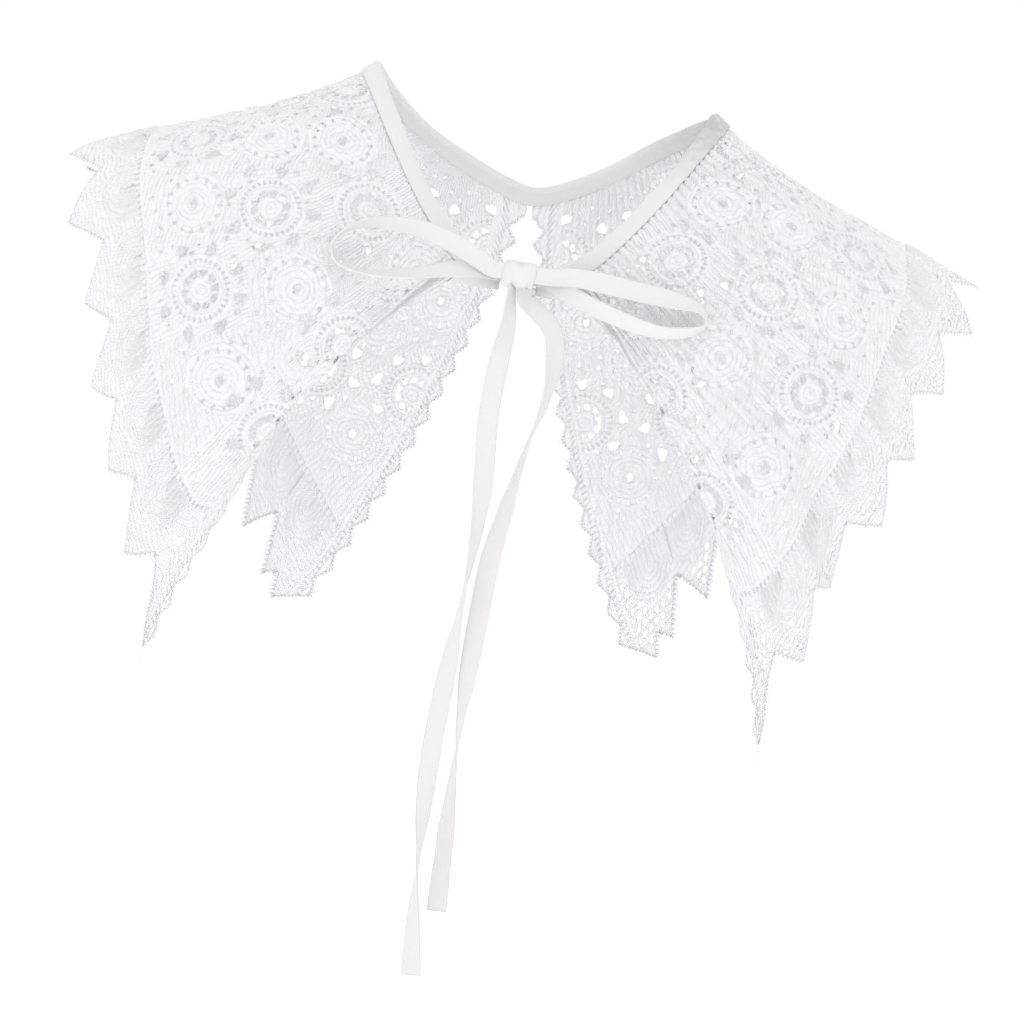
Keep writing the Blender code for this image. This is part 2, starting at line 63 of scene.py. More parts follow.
# Ties
# The two ends of the neck tape hang free below the knot. The tape is cotton,
# 20 mm wide, folded to 10 mm and stitched along its open edge. Each end is
# turned up and stitched across. A bend is its place and the tape's turn in degrees.
TAPE_WIDTH, TAPE_THICKNESS = 10.0, 1.2
LEFT_TIE = [
    (-1.5, -85, -107.0, 15), (-1.5, -85, -113, 22), (-0.6, -88, -127, 46),
    (-2.3, -91, -150, 78), (-2.8, -92, -175, 90), (-0.9, -92, -200, 72),
    (0, -92, -225, 42), (-1, -92, -252, 8), (-2.5, -92, -280, -28),
    (-3.9, -92, -310, -72), (-4.8, -92, -345, -98), (-3.3, -92, -380, -150),
    (-1.3, -92, -414, -205), (2.5, -92, -451, -262),
]
RIGHT_TIE = [
    (5.8, -83, -107.0, 60), (6, -83, -112.5, 62), (12, -84, -118, 66),
    (20.5, -85, -125, 72), (24.5, -85, -137, 60), (23.4, -85, -161, 22),
    (17.5, -85, -187, -8), (12.4, -85, -218, -46), (9.0, -85, -243, -78),
    (7.8, -85, -273, -92), (7.3, -85, -305, -130), (7.6, -85, -337, -178),
    (8.6, -85, -372, -226), (10, -85, -418.5, -262),
]
TAPE_COLOUR, TAPE_SHADE = (0.77, 0.757, 0.757), (0.56, 0.545, 0.54)
TAPE_ROUGHNESS, TAPE_SHEEN, SHEEN_ROUGHNESS = 0.8, 0.25, 0.5
# Painted shade: a mottled grey is painted on the tape round the crumpled right neck peak, where shade
# falls.
TAPE_PEAK_SHADE, SHADED_PEAK, PEAK_SHADE_REACH = (0.50, 0.487, 0.48), (0.085, -0.008, -0.006), 0.074
PEAK_SHADE_GAIN, PEAK_SHADE_BLOTCHES = 2.4, 190.0
THREAD_PITCH, STITCH_LENGTH, STITCH_INSET, STITCH_WIDTH = 0.45, 2.4, 1.3, 0.35
SELVEDGE, TAPE_CRUMPLES, TAPE_FIBRES, TAPE_RELIEF = 0.7, 90.0, 900.0, 0.0005
WEAVE_RISE, FIBRE_RISE, CRUMPLE_RISE, SEAM_RISE, STITCH_RISE = 0.10, 0.35, 1.6, -0.5, 1.1
# Painted shade: the stitch groove and the open edge of the tape are painted darker. The fibres give an
# uneven tone of their own.
SEAM_PAINTED_SHADE, FIBRE_DARK, SELVEDGE_PAINTED_SHADE = 0.35, 0.12, 0.30


def unit(vectors):
    return vectors / np.linalg.norm(vectors, axis=-1, keepdims=True)


def interpolate(rows, at):
    """Smooth values between rows of (position, value...)."""
    rows = np.array(rows, dtype=float)
    knots, values = rows[:, 0], rows[:, 1:]
    slopes = np.empty_like(values)
    slopes[1:-1] = (values[2:] - values[:-2]) / (knots[2:] - knots[:-2])[:, None]
    slopes[0] = (values[1] - values[0]) / (knots[1] - knots[0])
    slopes[-1] = (values[-1] - values[-2]) / (knots[-1] - knots[-2])
    at = np.atleast_1d(at)
    i = np.clip(np.searchsorted(knots, at, side="right") - 1, 0, len(knots) - 2)
    span = (knots[i + 1] - knots[i])[:, None]
    t = (at - knots[i])[:, None] / span
    return (
        (2 * t**3 - 3 * t**2 + 1) * values[i]
        + (t**3 - 2 * t**2 + t) * span * slopes[i]
        + (3 * t**2 - 2 * t**3) * values[i + 1]
        + (t**3 - t**2) * span * slopes[i + 1]
    )


def path_lengths(points):
    steps = np.linalg.norm(np.diff(points, axis=0), axis=1)
    return np.concatenate([[0.0], np.cumsum(steps)])


def lay_grid(columns, rows):
    """A grid with a UV map, and where each vertex lies on it, from 0 to 1 each way."""
    shape = bmesh.new()
    shape.loops.layers.uv.new("cloth")
    bmesh.ops.create_grid(shape, x_segments=columns, y_segments=rows, size=0.5, calc_uvs=True)
    spots = np.array([v.co for v in shape.verts])[:, :2] + 0.5
    return shape, spots[:, 0], spots[:, 1]


def place_points(shape, points):
    for vert, point in zip(shape.verts, points):
        vert.co = point


def scale_map(shape, length, width):
    """Turns a UV map from 0 to 1 into millimetres along and across the cloth."""
    layer = shape.loops.layers.uv.active
    for face in shape.faces:
        for corner in face.loops:
            u, v = corner[layer].uv
            corner[layer].uv = (u * length, v * width)


def close_shell(shape):
    """Merges the seams of a swept grid, fills its ends and turns its faces out."""
    bmesh.ops.remove_doubles(shape, verts=shape.verts, dist=1e-7)
    bmesh.ops.holes_fill(shape, edges=[edge for edge in shape.edges if edge.is_boundary])
    bmesh.ops.recalc_face_normals(shape, faces=shape.faces)


def to_mesh(name, shape):
    mesh = bpy.data.meshes.new(name)
    shape.to_mesh(mesh)
    shape.free()
    return mesh


def finish_piece(name, shape, material):
    """A smooth object from a finished shape, which rides on the collar."""
    mesh = to_mesh(name, shape) if isinstance(shape, bmesh.types.BMesh) else shape
    mesh.materials.append(material)
    mesh.shade_smooth()
    piece = bpy.data.objects.new(name, mesh)
    bpy.context.scene.collection.objects.link(piece)
    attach(piece, "root")
    return piece


def add_node(tree, kind, inputs=(), **settings):
    node = tree.nodes.new(kind)
    for name, value in settings.items():
        setattr(node, name, value)
    for key, value in dict(inputs).items():
        if isinstance(value, bpy.types.NodeSocket):
            tree.links.new(value, node.inputs[key])
        else:
            node.inputs[key].default_value = value
    return node


def calculate(tree, operation, first, second=0.0, third=0.0):
    return add_node(
        tree, "ShaderNodeMath", {0: first, 1: second, 2: third}, operation=operation,
    ).outputs[0]


def limit(tree, value):
    """The value held between 0 and 1."""
    return calculate(tree, "MINIMUM", calculate(tree, "MAXIMUM", value, 0.0), 1.0)


def noise(tree, coords, scale, detail):
    inputs = {"Vector": coords, "Scale": scale, "Detail": detail}
    return add_node(tree, "ShaderNodeTexNoise", inputs).outputs[0]


def uv_parts(tree, name):
    """The two numbers of a UV map."""
    where = add_node(tree, "ShaderNodeUVMap", uv_map=name).outputs[0]
    return add_node(tree, "ShaderNodeSeparateXYZ", {0: where}).outputs[:2]


def blend(tree, factor, first, second):
    """A colour between two, each of them four numbers or a socket."""
    inputs = {"Factor": factor, 6: first, 7: second}
    return add_node(tree, "ShaderNodeMix", inputs, data_type="RGBA").outputs[2]


def raise_surface(tree, shader, height, strength, distance):
    inputs = {"Height": height, "Strength": strength, "Distance": distance}
    bump = add_node(tree, "ShaderNodeBump", inputs)
    tree.links.new(bump.outputs[0], shader.inputs["Normal"])


def new_finish(name, roughness, sheen):
    material = bpy.data.materials.new(name)
    material.use_nodes = True
    shader = material.node_tree.nodes["Principled BSDF"]
    shader.inputs["Roughness"].default_value = roughness
    shader.inputs["Sheen Weight"].default_value = sheen
    shader.inputs["Sheen Roughness"].default_value = SHEEN_ROUGHNESS
    return material, material.node_tree, shader


def woven_tape():
    """Plain woven cotton tape with a line of stitches along its open edge, and painted shade in its
    stitch groove, along its open edge and round the crumpled right neck peak.
    """
    material, tree, shader = new_finish("white woven tape", TAPE_ROUGHNESS, TAPE_SHEEN)
    calc = partial(calculate, tree)
    along, across = uv_parts(tree, "cloth")
    turn = 2 * math.pi / THREAD_PITCH
    warp = calc("SINE", calc("MULTIPLY", across, turn))
    weft = calc("SINE", calc("MULTIPLY", along, turn))
    weave = calc("MULTIPLY", warp, weft)
    coords = add_node(tree, "ShaderNodeTexCoord").outputs["Object"]
    crumple = noise(tree, coords, TAPE_CRUMPLES, 3.0)
    fibre = noise(tree, coords, TAPE_FIBRES, 2.0)

    from_fold = calc("ABSOLUTE", calc("SUBTRACT", across, TAPE_WIDTH))
    from_line = calc("ABSOLUTE", calc("SUBTRACT", from_fold, TAPE_WIDTH - STITCH_INSET))
    seam = calc("SUBTRACT", 1.0, calc("MINIMUM", calc("DIVIDE", from_line, STITCH_WIDTH), 1.0))
    dash = calc("SINE", calc("MULTIPLY", along, 2 * math.pi / STITCH_LENGTH))
    stitch = calc("MULTIPLY", seam, calc("MAXIMUM", dash, 0.0))
    height = calc("MULTIPLY", weave, WEAVE_RISE)
    layers = [(fibre, FIBRE_RISE), (crumple, CRUMPLE_RISE), (seam, SEAM_RISE), (stitch, STITCH_RISE)]
    for layer, rise in layers:
        height = calc("MULTIPLY_ADD", layer, rise, height)
    raise_surface(tree, shader, height, 0.45, TAPE_RELIEF)

    # Painted shade: the groove of the stitch line between the stitches and the rim along the open edge
    # are painted darker, where shade falls. The fibres add an uneven tone of their own.
    selvedge = calc("DIVIDE", calc("SUBTRACT", from_fold, TAPE_WIDTH - SELVEDGE), SELVEDGE)
    shade = calc("MULTIPLY", calc("SUBTRACT", seam, stitch), SEAM_PAINTED_SHADE)
    for layer, dark in ((fibre, FIBRE_DARK), (limit(tree, selvedge), SELVEDGE_PAINTED_SHADE)):
        shade = calc("MULTIPLY_ADD", layer, dark, shade)
    tape_tone = blend(tree, shade, (*TAPE_COLOUR, 1), (*TAPE_SHADE, 1))
    # Painted shade at the crumpled right neck peak: near that point the tape is blended towards a
    # mottled grey.
    inputs = {0: coords, 1: SHADED_PEAK}
    away = add_node(tree, "ShaderNodeVectorMath", inputs, operation="DISTANCE").outputs["Value"]
    near_peak = calc("SUBTRACT", 1.0, calc("DIVIDE", away, PEAK_SHADE_REACH))
    blotches = calc("MULTIPLY", noise(tree, coords, PEAK_SHADE_BLOTCHES, 4.0), PEAK_SHADE_GAIN)
    peak_shade = limit(tree, calc("MULTIPLY", calc("MAXIMUM", near_peak, 0.0), blotches))
    colour = blend(tree, peak_shade, tape_tone, (*TAPE_PEAK_SHADE, 1))
    tree.links.new(colour, shader.inputs["Base Color"])
    return material


TAPE_FINISH = woven_tape()
RIBBON_STEP, RIBBON_CORNERS, RIBBON_CUP, TANGENT_REACH = 1.5, 28, 0.5, 0.1
RIBBON_FLAT, RIBBON_ROUND, TIE_RIPPLE, LOOP_CUP, LOOP_RIPPLE = 0.35, 0.6, 0.18, 0.7, 0.12
RIPPLE_LONG, RIPPLE_SHORT, RIPPLE_SHARE = 5.1, 3.3, 0.6
END_HEM, END_HEM_RISE, END_HEM_FOLD = 5.0, 0.25, 0.6


def ribbon_section(count):
    """Round a flat ribbon, as (across, out), from -1 to 1 each way."""
    angle = 2 * math.pi * np.arange(count + 1) / count
    across, out = np.cos(angle), np.sin(angle)
    across = np.sign(across) * np.abs(across) ** RIBBON_FLAT
    return across, np.sign(out) * np.abs(out) ** RIBBON_ROUND


def ribbon_path(bends, step):
    """Points, directions and turns along the bends of a ribbon."""
    knots = path_lengths(np.array(bends, dtype=float)[:, :3])
    rows = [(knot, *bend) for knot, bend in zip(knots, bends)]
    stations = np.linspace(0, knots[-1], round(knots[-1] / step) + 1)
    values = interpolate(rows, stations)
    nudge = np.clip(stations, TANGENT_REACH, knots[-1] - TANGENT_REACH)
    ahead, behind = (interpolate(rows, nudge + r)[:, :3] for r in (TANGENT_REACH, -TANGENT_REACH))
    return values[:, :3], unit(ahead - behind), np.radians(values[:, 3])


def sweep_ribbon(bends, widths=None, cup=RIBBON_CUP, ripple=0.0, hem=False):
    """A folded tape swept along its bends: a closed shell with rounded edges."""
    line, forward, turns = ribbon_path(bends, RIBBON_STEP)
    shape, a, b = lay_grid(len(line) - 1, RIBBON_CORNERS)
    station = np.rint(a * (len(line) - 1)).astype(int)
    corner = np.rint(b * RIBBON_CORNERS).astype(int)
    across, out = (values[corner] for values in ribbon_section(RIBBON_CORNERS))
    depth = unit(np.array([0, 1, 0]) - forward * forward[:, 1:2])
    turns = turns[:, None]
    wide = depth * np.cos(turns) + np.cross(forward, depth) * np.sin(turns)
    thick = np.cross(forward, wide)
    lengths = path_lengths(line)
    half = np.full(len(line), TAPE_WIDTH / 2)
    if widths:
        half = interpolate(widths, lengths / lengths[-1])[:, 0] / 2
    ply = np.full(len(line), TAPE_THICKNESS / 2)
    if hem:
        turned_up = np.clip((lengths - lengths[-1] + END_HEM) / END_HEM_FOLD, 0, 1)
        ply = ply + END_HEM_RISE * turned_up
    waves = np.sin(lengths / RIPPLE_LONG) + RIPPLE_SHARE * np.sin(lengths / RIPPLE_SHORT + 1)
    waves = ripple * waves
    off = out * ply[station] + cup * across**2 + waves[station] * across
    points = line[station] + wide[station] * (across * half[station])[:, None]
    points += thick[station] * off[:, None]
    place_points(shape, points * MM)
    scale_map(shape, lengths[-1], 2 * TAPE_WIDTH)
    close_shell(shape)
    return shape, line


for side, bends in (("left", LEFT_TIE), ("right", RIGHT_TIE)):
    shape, line = sweep_ribbon(bends, ripple=TIE_RIPPLE, hem=True)
    tie = finish_piece(f"hanging_tie_{side}", shape, TAPE_FINISH)
    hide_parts(f"tie_{side}")


# Bow loops
# The same folded tape, doubled back through the knot on each side. It is
# squeezed narrow where it enters the knot.
LEFT_LOOP = [
    (-5.5, -87.2, -101, 88), (-8.1, -87.5, -101, 88), (-12, -88.2, -101, 87),
    (-21, -94, -97, 80), (-36, -100, -91, 68), (-53, -103, -87.5, 52),
    (-69, -106, -87.5, 30), (-82, -108, -91.5, 10), (-89.5, -109, -98, 0),
    (-91.5, -109, -104.5, 0), (-88, -109, -111, 2), (-78, -108, -114, 10),
    (-62, -105, -113, 22), (-46, -101, -109.5, 38), (-31, -95, -105, 56),
    (-20, -89, -102.5, 72), (-12, -84.4, -102, 84), (-8.1, -83.6, -102, 88),
    (-5.5, -83.4, -102, 88),
]
RIGHT_LOOP = [
    (8, -87.2, -101, 88), (10.6, -87.5, -101, 88), (15, -88.5, -101, 87),
    (30, -97, -99.8, 84), (51, -104, -101.5, 80), (71, -109, -103.5, 68),
    (86, -112, -105.5, 40), (93.5, -113, -109, 12), (94, -112, -113.5, 8),
    (87, -111, -117.5, 22), (73, -108, -119.5, 36), (57, -104, -117, 46),
    (41, -98, -112.5, 56), (26, -91, -107, 68), (15, -84.6, -102, 84),
    (10.6, -83.6, -102, 88), (8, -83.4, -102, 88),
]
LOOP_WIDTHS = [(0, 8.2), (0.08, 9.2), (0.2, 10), (0.8, 10), (0.92, 9.2), (1, 8.2)]
for side, bends in (("left", LEFT_LOOP), ("right", RIGHT_LOOP)):
    shape, line = sweep_ribbon(bends, LOOP_WIDTHS, LOOP_CUP, LOOP_RIPPLE)
    loop = finish_piece(f"bow_ribbon_{side}", shape, TAPE_FINISH)
    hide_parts(f"bow_loop_{side}")


# Bow knot
# One turn of the tape drawn tight round the crossing. It lies flat over the
# loops, is gathered into slanting creases, and shows a rim at each side.
KNOT_MIDDLE, KNOT_HALF = (1.2, -84.0, -101.8), (8.4, 6.6, 7.4)
KNOT_COLUMNS, KNOT_ROWS, KNOT_POWER, KNOT_WAIST, KNOT_SKEW = 96, 64, 0.45, 0.10, 0.05
KNOT_RIM, KNOT_RIM_AT, KNOT_RIM_WIDTH, KNOT_TURN = 0.05, 0.93, 0.07, 40.0
Crease = namedtuple("Crease", "at slant width depth")
CREASES = [
    Crease(-0.52, 0.30, 0.13, 0.10),
    Crease(-0.12, -0.16, 0.09, 0.07),
    Crease(0.28, 0.34, 0.12, 0.11),
    Crease(0.66, -0.10, 0.08, 0.06),
]
shape = bmesh.new()
shape.loops.layers.uv.new("cloth")
bmesh.ops.create_uvsphere(
    shape, u_segments=KNOT_COLUMNS, v_segments=KNOT_ROWS, radius=1.0, calc_uvs=True,
)
ball = np.array([v.co for v in shape.verts])
boxy = np.sign(ball) * np.abs(ball) ** KNOT_POWER
side_on, front_on, up_on = boxy.T
pull = 1 - KNOT_WAIST * np.cos(side_on * math.pi / 2) * np.abs(up_on) ** 3
pull += KNOT_RIM * np.exp(-(((np.abs(side_on) - KNOT_RIM_AT) / KNOT_RIM_WIDTH) ** 2))
for crease in CREASES:
    away = (side_on + crease.slant * up_on * np.sign(-front_on) - crease.at) / crease.width
    pull -= crease.depth * np.exp(-(away**2))
knot_points = np.stack([side_on + KNOT_SKEW * up_on, front_on * pull, up_on * pull], axis=1)
place_points(shape, (knot_points * KNOT_HALF + KNOT_MIDDLE) * MM)
scale_map(shape, KNOT_TURN, 2 * TAPE_WIDTH)
knot = finish_piece("tied_knot", shape, TAPE_FINISH)
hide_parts("bow_knot")


# Neck binding
# A 20 mm cotton tape folded over the neck edges of both lace halves and
# stitched through near its lower edge. It also joins the halves at the back,
# and runs on into the bow.
NECK_HALF_WIDTH, SHOULDER, SEAM_GAP = 87.0, 0.49, 0.3
NECK_DEPTH = {"front": 80.0, "back": 58.0}
NECK_DROP = {"front": 96.0, "back": 46.5}
NECK_GAP = {"front": 14.0, "back": 1.0}
NECK_ROUND = {"front": 1.6, "back": 1.35}
KNOT_LEFT, KNOT_RIGHT, NEAR_EDGE = 7.5, 10.0, 0.01
Section = namedtuple("Section", "share upper lower hem")
SECTIONS = [
    Section(0.00, (71, -77, -145), (129, -76, -228), (153, -86, -322)),
    Section(0.05, (78, -90, -150), (128, -93, -224), (162, -84, -294)),
    Section(0.14, (95, -105, -128), (147, -104, -188), (178, -78, -244)),
    Section(0.26, (113, -93, -86), (164, -93, -132), (203, -63, -178)),
    Section(0.38, (127, -60, -44), (180, -64, -77), (227, -42, -115)),
    Section(0.49, (134, 0, -28), (186, 0, -48), (237, 0, -68)),
    Section(0.61, (127, 54, -36), (176, 64, -70), (213, 49, -109)),
    Section(0.74, (103, 78, -66), (143, 93, -115), (175, 78, -170)),
    Section(0.87, (66, 88, -100), (103, 101, -165), (135, 93, -234)),
    Section(1.00, (22, 84, -130), (50, 98, -212), (96, 99, -300)),
]
BACK_EDGE_PULL, BACK_PULL_FROM, BACK_PULL_FADE = 68.0, 0.84, 6
LEFT_TURN, TURN_POWER, NECK_LEAN, LEAN_FADE = 0.046, 3, 4.0, 2
POINT_SPREAD, POINT_FROM, POINT_WIDTH = {-1: 10.0, 1: 5.0}, 0.5, 0.035
Fold = namedtuple("Fold", "side share reach rise")
FOLDS = [
    Fold(-1, 0.20, 0.035, 5.0),
    Fold(-1, 0.31, 0.035, -5.0),
    Fold(-1, 0.70, 0.045, 5.0),
    Fold(-1, 0.83, 0.045, -4.0),
    Fold(1, 0.17, 0.030, -6.0),
    Fold(1, 0.25, 0.035, 5.0),
    Fold(1, 0.34, 0.035, -4.0),
    Fold(1, 0.73, 0.045, -5.0),
    Fold(1, 0.86, 0.045, 4.0),
]


def neckline(share):
    """Points on the top edge of the neck tape, right half."""
    front = share < SHOULDER
    turn = (share - SHOULDER) / np.where(front, SHOULDER, 1 - SHOULDER) * (math.pi / 2)
    gap, depth, drop, power = (
        np.where(front, size["front"], size["back"])
        for size in (NECK_GAP, NECK_DEPTH, NECK_DROP, NECK_ROUND)
    )
    side = np.clip(np.cos(turn), 0, 1)
    x = gap + (NECK_HALF_WIDTH - gap) * side
    return np.stack([x, depth * np.sin(turn), -drop * (1 - side**power)], axis=1)


def plain_surface(share, down):
    """The worn lace without its folds. down is 0 at the neck and 1 at the hem."""
    share, down = np.broadcast_arrays(np.atleast_1d(share), np.atleast_1d(down))
    share, down = share.astype(float), down.astype(float)
    upper = interpolate([(s.share, *s.upper) for s in SECTIONS], share)
    lower = interpolate([(s.share, *s.lower) for s in SECTIONS], share)
    hem = interpolate([(s.share, *s.hem) for s in SECTIONS], share)
    v = down[:, None]
    points = (
        neckline(share) * (1 - 3 * v) * (2 - 3 * v) * (1 - v) / 2
        + upper * 9 * v * (2 - 3 * v) * (1 - v) / 2
        - lower * 9 * v * (1 - 3 * v) * (1 - v) / 2
        + hem * v * (1 - 3 * v) * (2 - 3 * v) / 2
    )
    pull = np.clip((share - BACK_PULL_FROM) / (1 - BACK_PULL_FROM), 0, 1) ** 2
    fade = down * np.clip(1 - down, 0, 1) ** BACK_PULL_FADE
    points[:, 0] -= BACK_EDGE_PULL * pull * fade
    return points


def slopes(share, down, step=1e-3):
    """Change of the surface's points along the hem, and down the lace."""
    along = plain_surface(share + step, down) - plain_surface(share - step, down)
    fall = plain_surface(share, down + step) - plain_surface(share, down - step)
    return along / (2 * step), fall / (2 * step)


def outward(share, down):
    along, fall = slopes(share, down)
    return unit(np.cross(fall, along))


def worn(share, down, side, lift=0.0):
    """Points on one half as worn, with its folds, lifted off the lace's middle."""
    rise = np.zeros_like(share)
    for fold in FOLDS:
        if fold.side == side:
            rise += fold.rise * np.exp(-(((share - fold.share) / fold.reach) ** 2))
    low = np.clip(down, 0, 1)
    turn = LEFT_TURN * low * np.sin(math.pi * share) ** TURN_POWER if side < 0 else 0.0
    placed = share + turn
    off = lift + rise * low**2
    points = plain_surface(placed, down) + outward(placed, down) * off[:, None]
    tail = np.sin(math.pi * np.clip((low - POINT_FROM) / (1 - POINT_FROM), 0, 1))
    points[:, 0] -= POINT_SPREAD[side] * tail * np.exp(-((share / POINT_WIDTH) ** 2))
    back = np.clip((share - SHOULDER) / (1 - SHOULDER), 0, 1)
    points[:, 2] += side * NECK_LEAN * np.sin(math.pi * back) ** 2 * (1 - low) ** LEAN_FADE
    return points * (side, 1, 1)


def down_from_neck(share, distance):
    """How far down a point lies that is a distance in from the neck edge."""
    along, fall = slopes(share, NEAR_EDGE)
    return distance / np.linalg.norm(np.cross(fall, unit(along)), axis=1)


BINDING_PLY, BINDING_INNER, BINDING_NOSE, BINDING_RINGS = 0.85, 0.95, 2.0, 130
BINDING_PINCH, PUCKER_RISE, PUCKER_LONG, PUCKER_SHORT, PUCKER_SHARE = 0.28, 0.22, 2.9, 1.7, 0.6
EDGE_WAVE, WAVE_LONG, WAVE_SHORT, RUFFLE_LENGTH = 0.35, 13.0, 6.1, 1.9
PEAK_CRUMPLE, PEAK_SHARE, PEAK_REACH, PEAK_RUFFLE = 2.2, 0.44, 0.09, 0.12


def binding_section():
    """Round the folded tape, as (distance from the neck edge, offset out)."""
    outer, inner, end = BINDING_INNER + BINDING_PLY, BINDING_INNER, TAPE_WIDTH
    nose = [math.pi * i / 8 for i in range(9)]
    pinch = BINDING_PINCH
    front = [(end, pinch), (end + 0.12, pinch + 0.4), (end, pinch + 0.75)]
    front += [(9.2, (pinch + 0.8 + outer) / 2)] + [(d, outer) for d in (8.2, 7.0, 5.6, 4.2, 3.0)]
    fold = [(BINDING_NOSE - BINDING_NOSE * math.sin(t), outer * math.cos(t)) for t in nose]
    back = [(d, -off) for d, off in front[::-1]]
    pocket = [(9.0, -(pinch + inner) / 2)] + [(d, -inner) for d in (7.0, 5.0, 3.2)]
    pocket += [(2.6, 0.0)] + [(d, -off) for d, off in pocket[::-1]]
    return np.array(front + fold + back + pocket)


def bind_neck():
    """The tape from one side of the knot, round the back, to the other."""
    section = binding_section()
    section = np.vstack([section, section[:1]])
    half = np.linspace(0, 1, BINDING_RINGS)[:-1] ** 1.3
    ends = [(0.0, 1, KNOT_RIGHT + SEAM_GAP)]
    stations = ends + [(share, 1, None) for share in half] + [(1.0, 1, 0.0)]
    stations += [(share, -1, None) for share in half[::-1]] + [(0.0, -1, KNOT_LEFT + SEAM_GAP)]
    rings, reach = [], 0.0
    for share, side, end in stations:
        shares = np.full(len(section), share)
        run = side * path_lengths(neckline(np.linspace(0, max(share, 1e-6), 40)))[-1]
        flare = np.clip(section[:, 0] / TAPE_WIDTH, 0, 1) ** 2
        puckers = np.sin(run / PUCKER_LONG + side) * PUCKER_SHARE
        puckers += np.sin(run / PUCKER_SHORT) * (1 - PUCKER_SHARE)
        sway = PUCKER_RISE * puckers * flare * np.sign(section[:, 1])
        crumple = 1.0
        if side > 0:
            crumple += PEAK_CRUMPLE * math.exp(-(((share - PEAK_SHARE) / PEAK_REACH) ** 2))
        sway = sway * crumple
        wave = EDGE_WAVE * (np.sin(run / WAVE_LONG + side) + 0.5 * np.sin(run / WAVE_SHORT))
        wave = wave * (1 - flare) * crumple
        wave += PEAK_RUFFLE * (crumple - 1) * np.sin(run / RUFFLE_LENGTH)
        downs = down_from_neck(share, 1.0) * (section[:, 0] + wave)
        ring = worn(shares, downs, side, section[:, 1] + np.abs(sway) * np.sign(section[:, 1]))
        if end is not None:
            ring[:, 0] = side * end
        rings.append(ring)
    rings = np.array(rings)
    shape, a, b = lay_grid(len(rings) - 1, len(section) - 1)
    row = np.rint(a * (len(rings) - 1)).astype(int)
    corner = np.rint(b * (len(section) - 1)).astype(int)
    place_points(shape, rings[row, corner] * MM)
    length = path_lengths(rings[:, 10])[-1]
    scale_map(shape, length, path_lengths(section)[-1])
    close_shell(shape)
    return shape, length


shape, length = bind_neck()
binding = finish_piece("neck_tape", shape, TAPE_FINISH)
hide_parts("neck_binding")


# Lace halves
# Each half is one piece of heavy white cotton crochet lace: rows of wheels and
# flowers, a straight ladder band, and a border of fans over a net, cut into
# teeth. It is made as a front and a back panel that meet at the shoulder line.
FIRST_NOTCH_AT, FIRST_TOOTH = 36.0, 56.0
FRONT_PITCH, FRONT_TEETH, BACK_PITCH, BACK_TEETH = 39.2, 7, 34.4, 7
LAST_PITCH, LAST_NOTCH, TOOTH_DEPTH, BACK_POINT_CUT = 28.0, 8.0, 22.0, 19.0
EDGE_TOOTH_PITCH, EDGE_TOOTH_DEPTH, EDGE_TOP, EDGE_TOOTH_LEAN = 16.0, 5.0, 16.0, 0.62
ROW_DISTANCES, MOTIF_SPACING = (80.0, 123.0, 166.0, 209.0), 43.0
WHEEL_HOLES, HOLE_RING, HOLE_DIAMETER = 8, 21.0, 6.0
PLAIN_EDGE, PLAIN_NECK, HEM_BORDER, NEAR_HEM, RULER = 16.0, 17.0, 50.0, 0.8, 600
RULER_SHARES = np.linspace(0, 1, RULER)
HEM_DISTANCES = path_lengths(plain_surface(RULER_SHARES, 1.0))
HEM_LENGTH = HEM_DISTANCES[-1]
DOWN_STEPS = np.linspace(0, 1, 26)
FALL_LENGTHS = sum(
    np.linalg.norm(plain_surface(RULER_SHARES, low) - plain_surface(RULER_SHARES, high), axis=1)
    for high, low in zip(DOWN_STEPS, DOWN_STEPS[1:])
)
HEM_SLANTS = np.linalg.norm(np.cross(*map(unit, slopes(RULER_SHARES, NEAR_HEM))), axis=1)


def fall_length(share):
    return np.interp(share, RULER_SHARES, FALL_LENGTHS)


def square_fall(share):
    """Length of the lace from neck to hem, measured square to the hem."""
    return fall_length(share) * np.interp(share, RULER_SHARES, HEM_SLANTS)


def down_from_hem(share, distance):
    return 1 - distance / square_fall(share)


def in_plane(share, down, across, up):
    """A point moved within the lace: across along the hem, up towards it."""
    along, fall = (vectors[0] for vectors in slopes(share, down))
    first = unit(along)
    second = unit(fall - first * fall.dot(first))
    d_down = up / fall.dot(second)
    d_share = (across - d_down * fall.dot(first)) / np.linalg.norm(along)
    return float(share + d_share), float(down + d_down)


TOOTH_TIPS = [FIRST_TOOTH + FRONT_PITCH * i for i in range(FRONT_TEETH)]
TOOTH_TIPS += [TOOTH_TIPS[-1] + BACK_PITCH * (i + 1) for i in range(BACK_TEETH)]
TOOTH_TIPS.append(TOOTH_TIPS[-1] + LAST_PITCH)
BACK_POINT = HEM_LENGTH - BACK_POINT_CUT


def hem_corners():
    """Corners of the hem, as (distance along it, depth in from the tips)."""
    notches = [FIRST_NOTCH_AT] + [(a + b) / 2 for a, b in zip(TOOTH_TIPS, TOOTH_TIPS[1:])]
    corners = [(0.0, 0.0)]
    for notch, tip in zip(notches, TOOTH_TIPS):
        corners += [(notch, TOOTH_DEPTH), (tip, 0.0)]
    corners += [((TOOTH_TIPS[-1] + BACK_POINT) / 2, LAST_NOTCH), (BACK_POINT, 0.0)]
    return np.array(corners + [(HEM_LENGTH, BACK_POINT_CUT)])


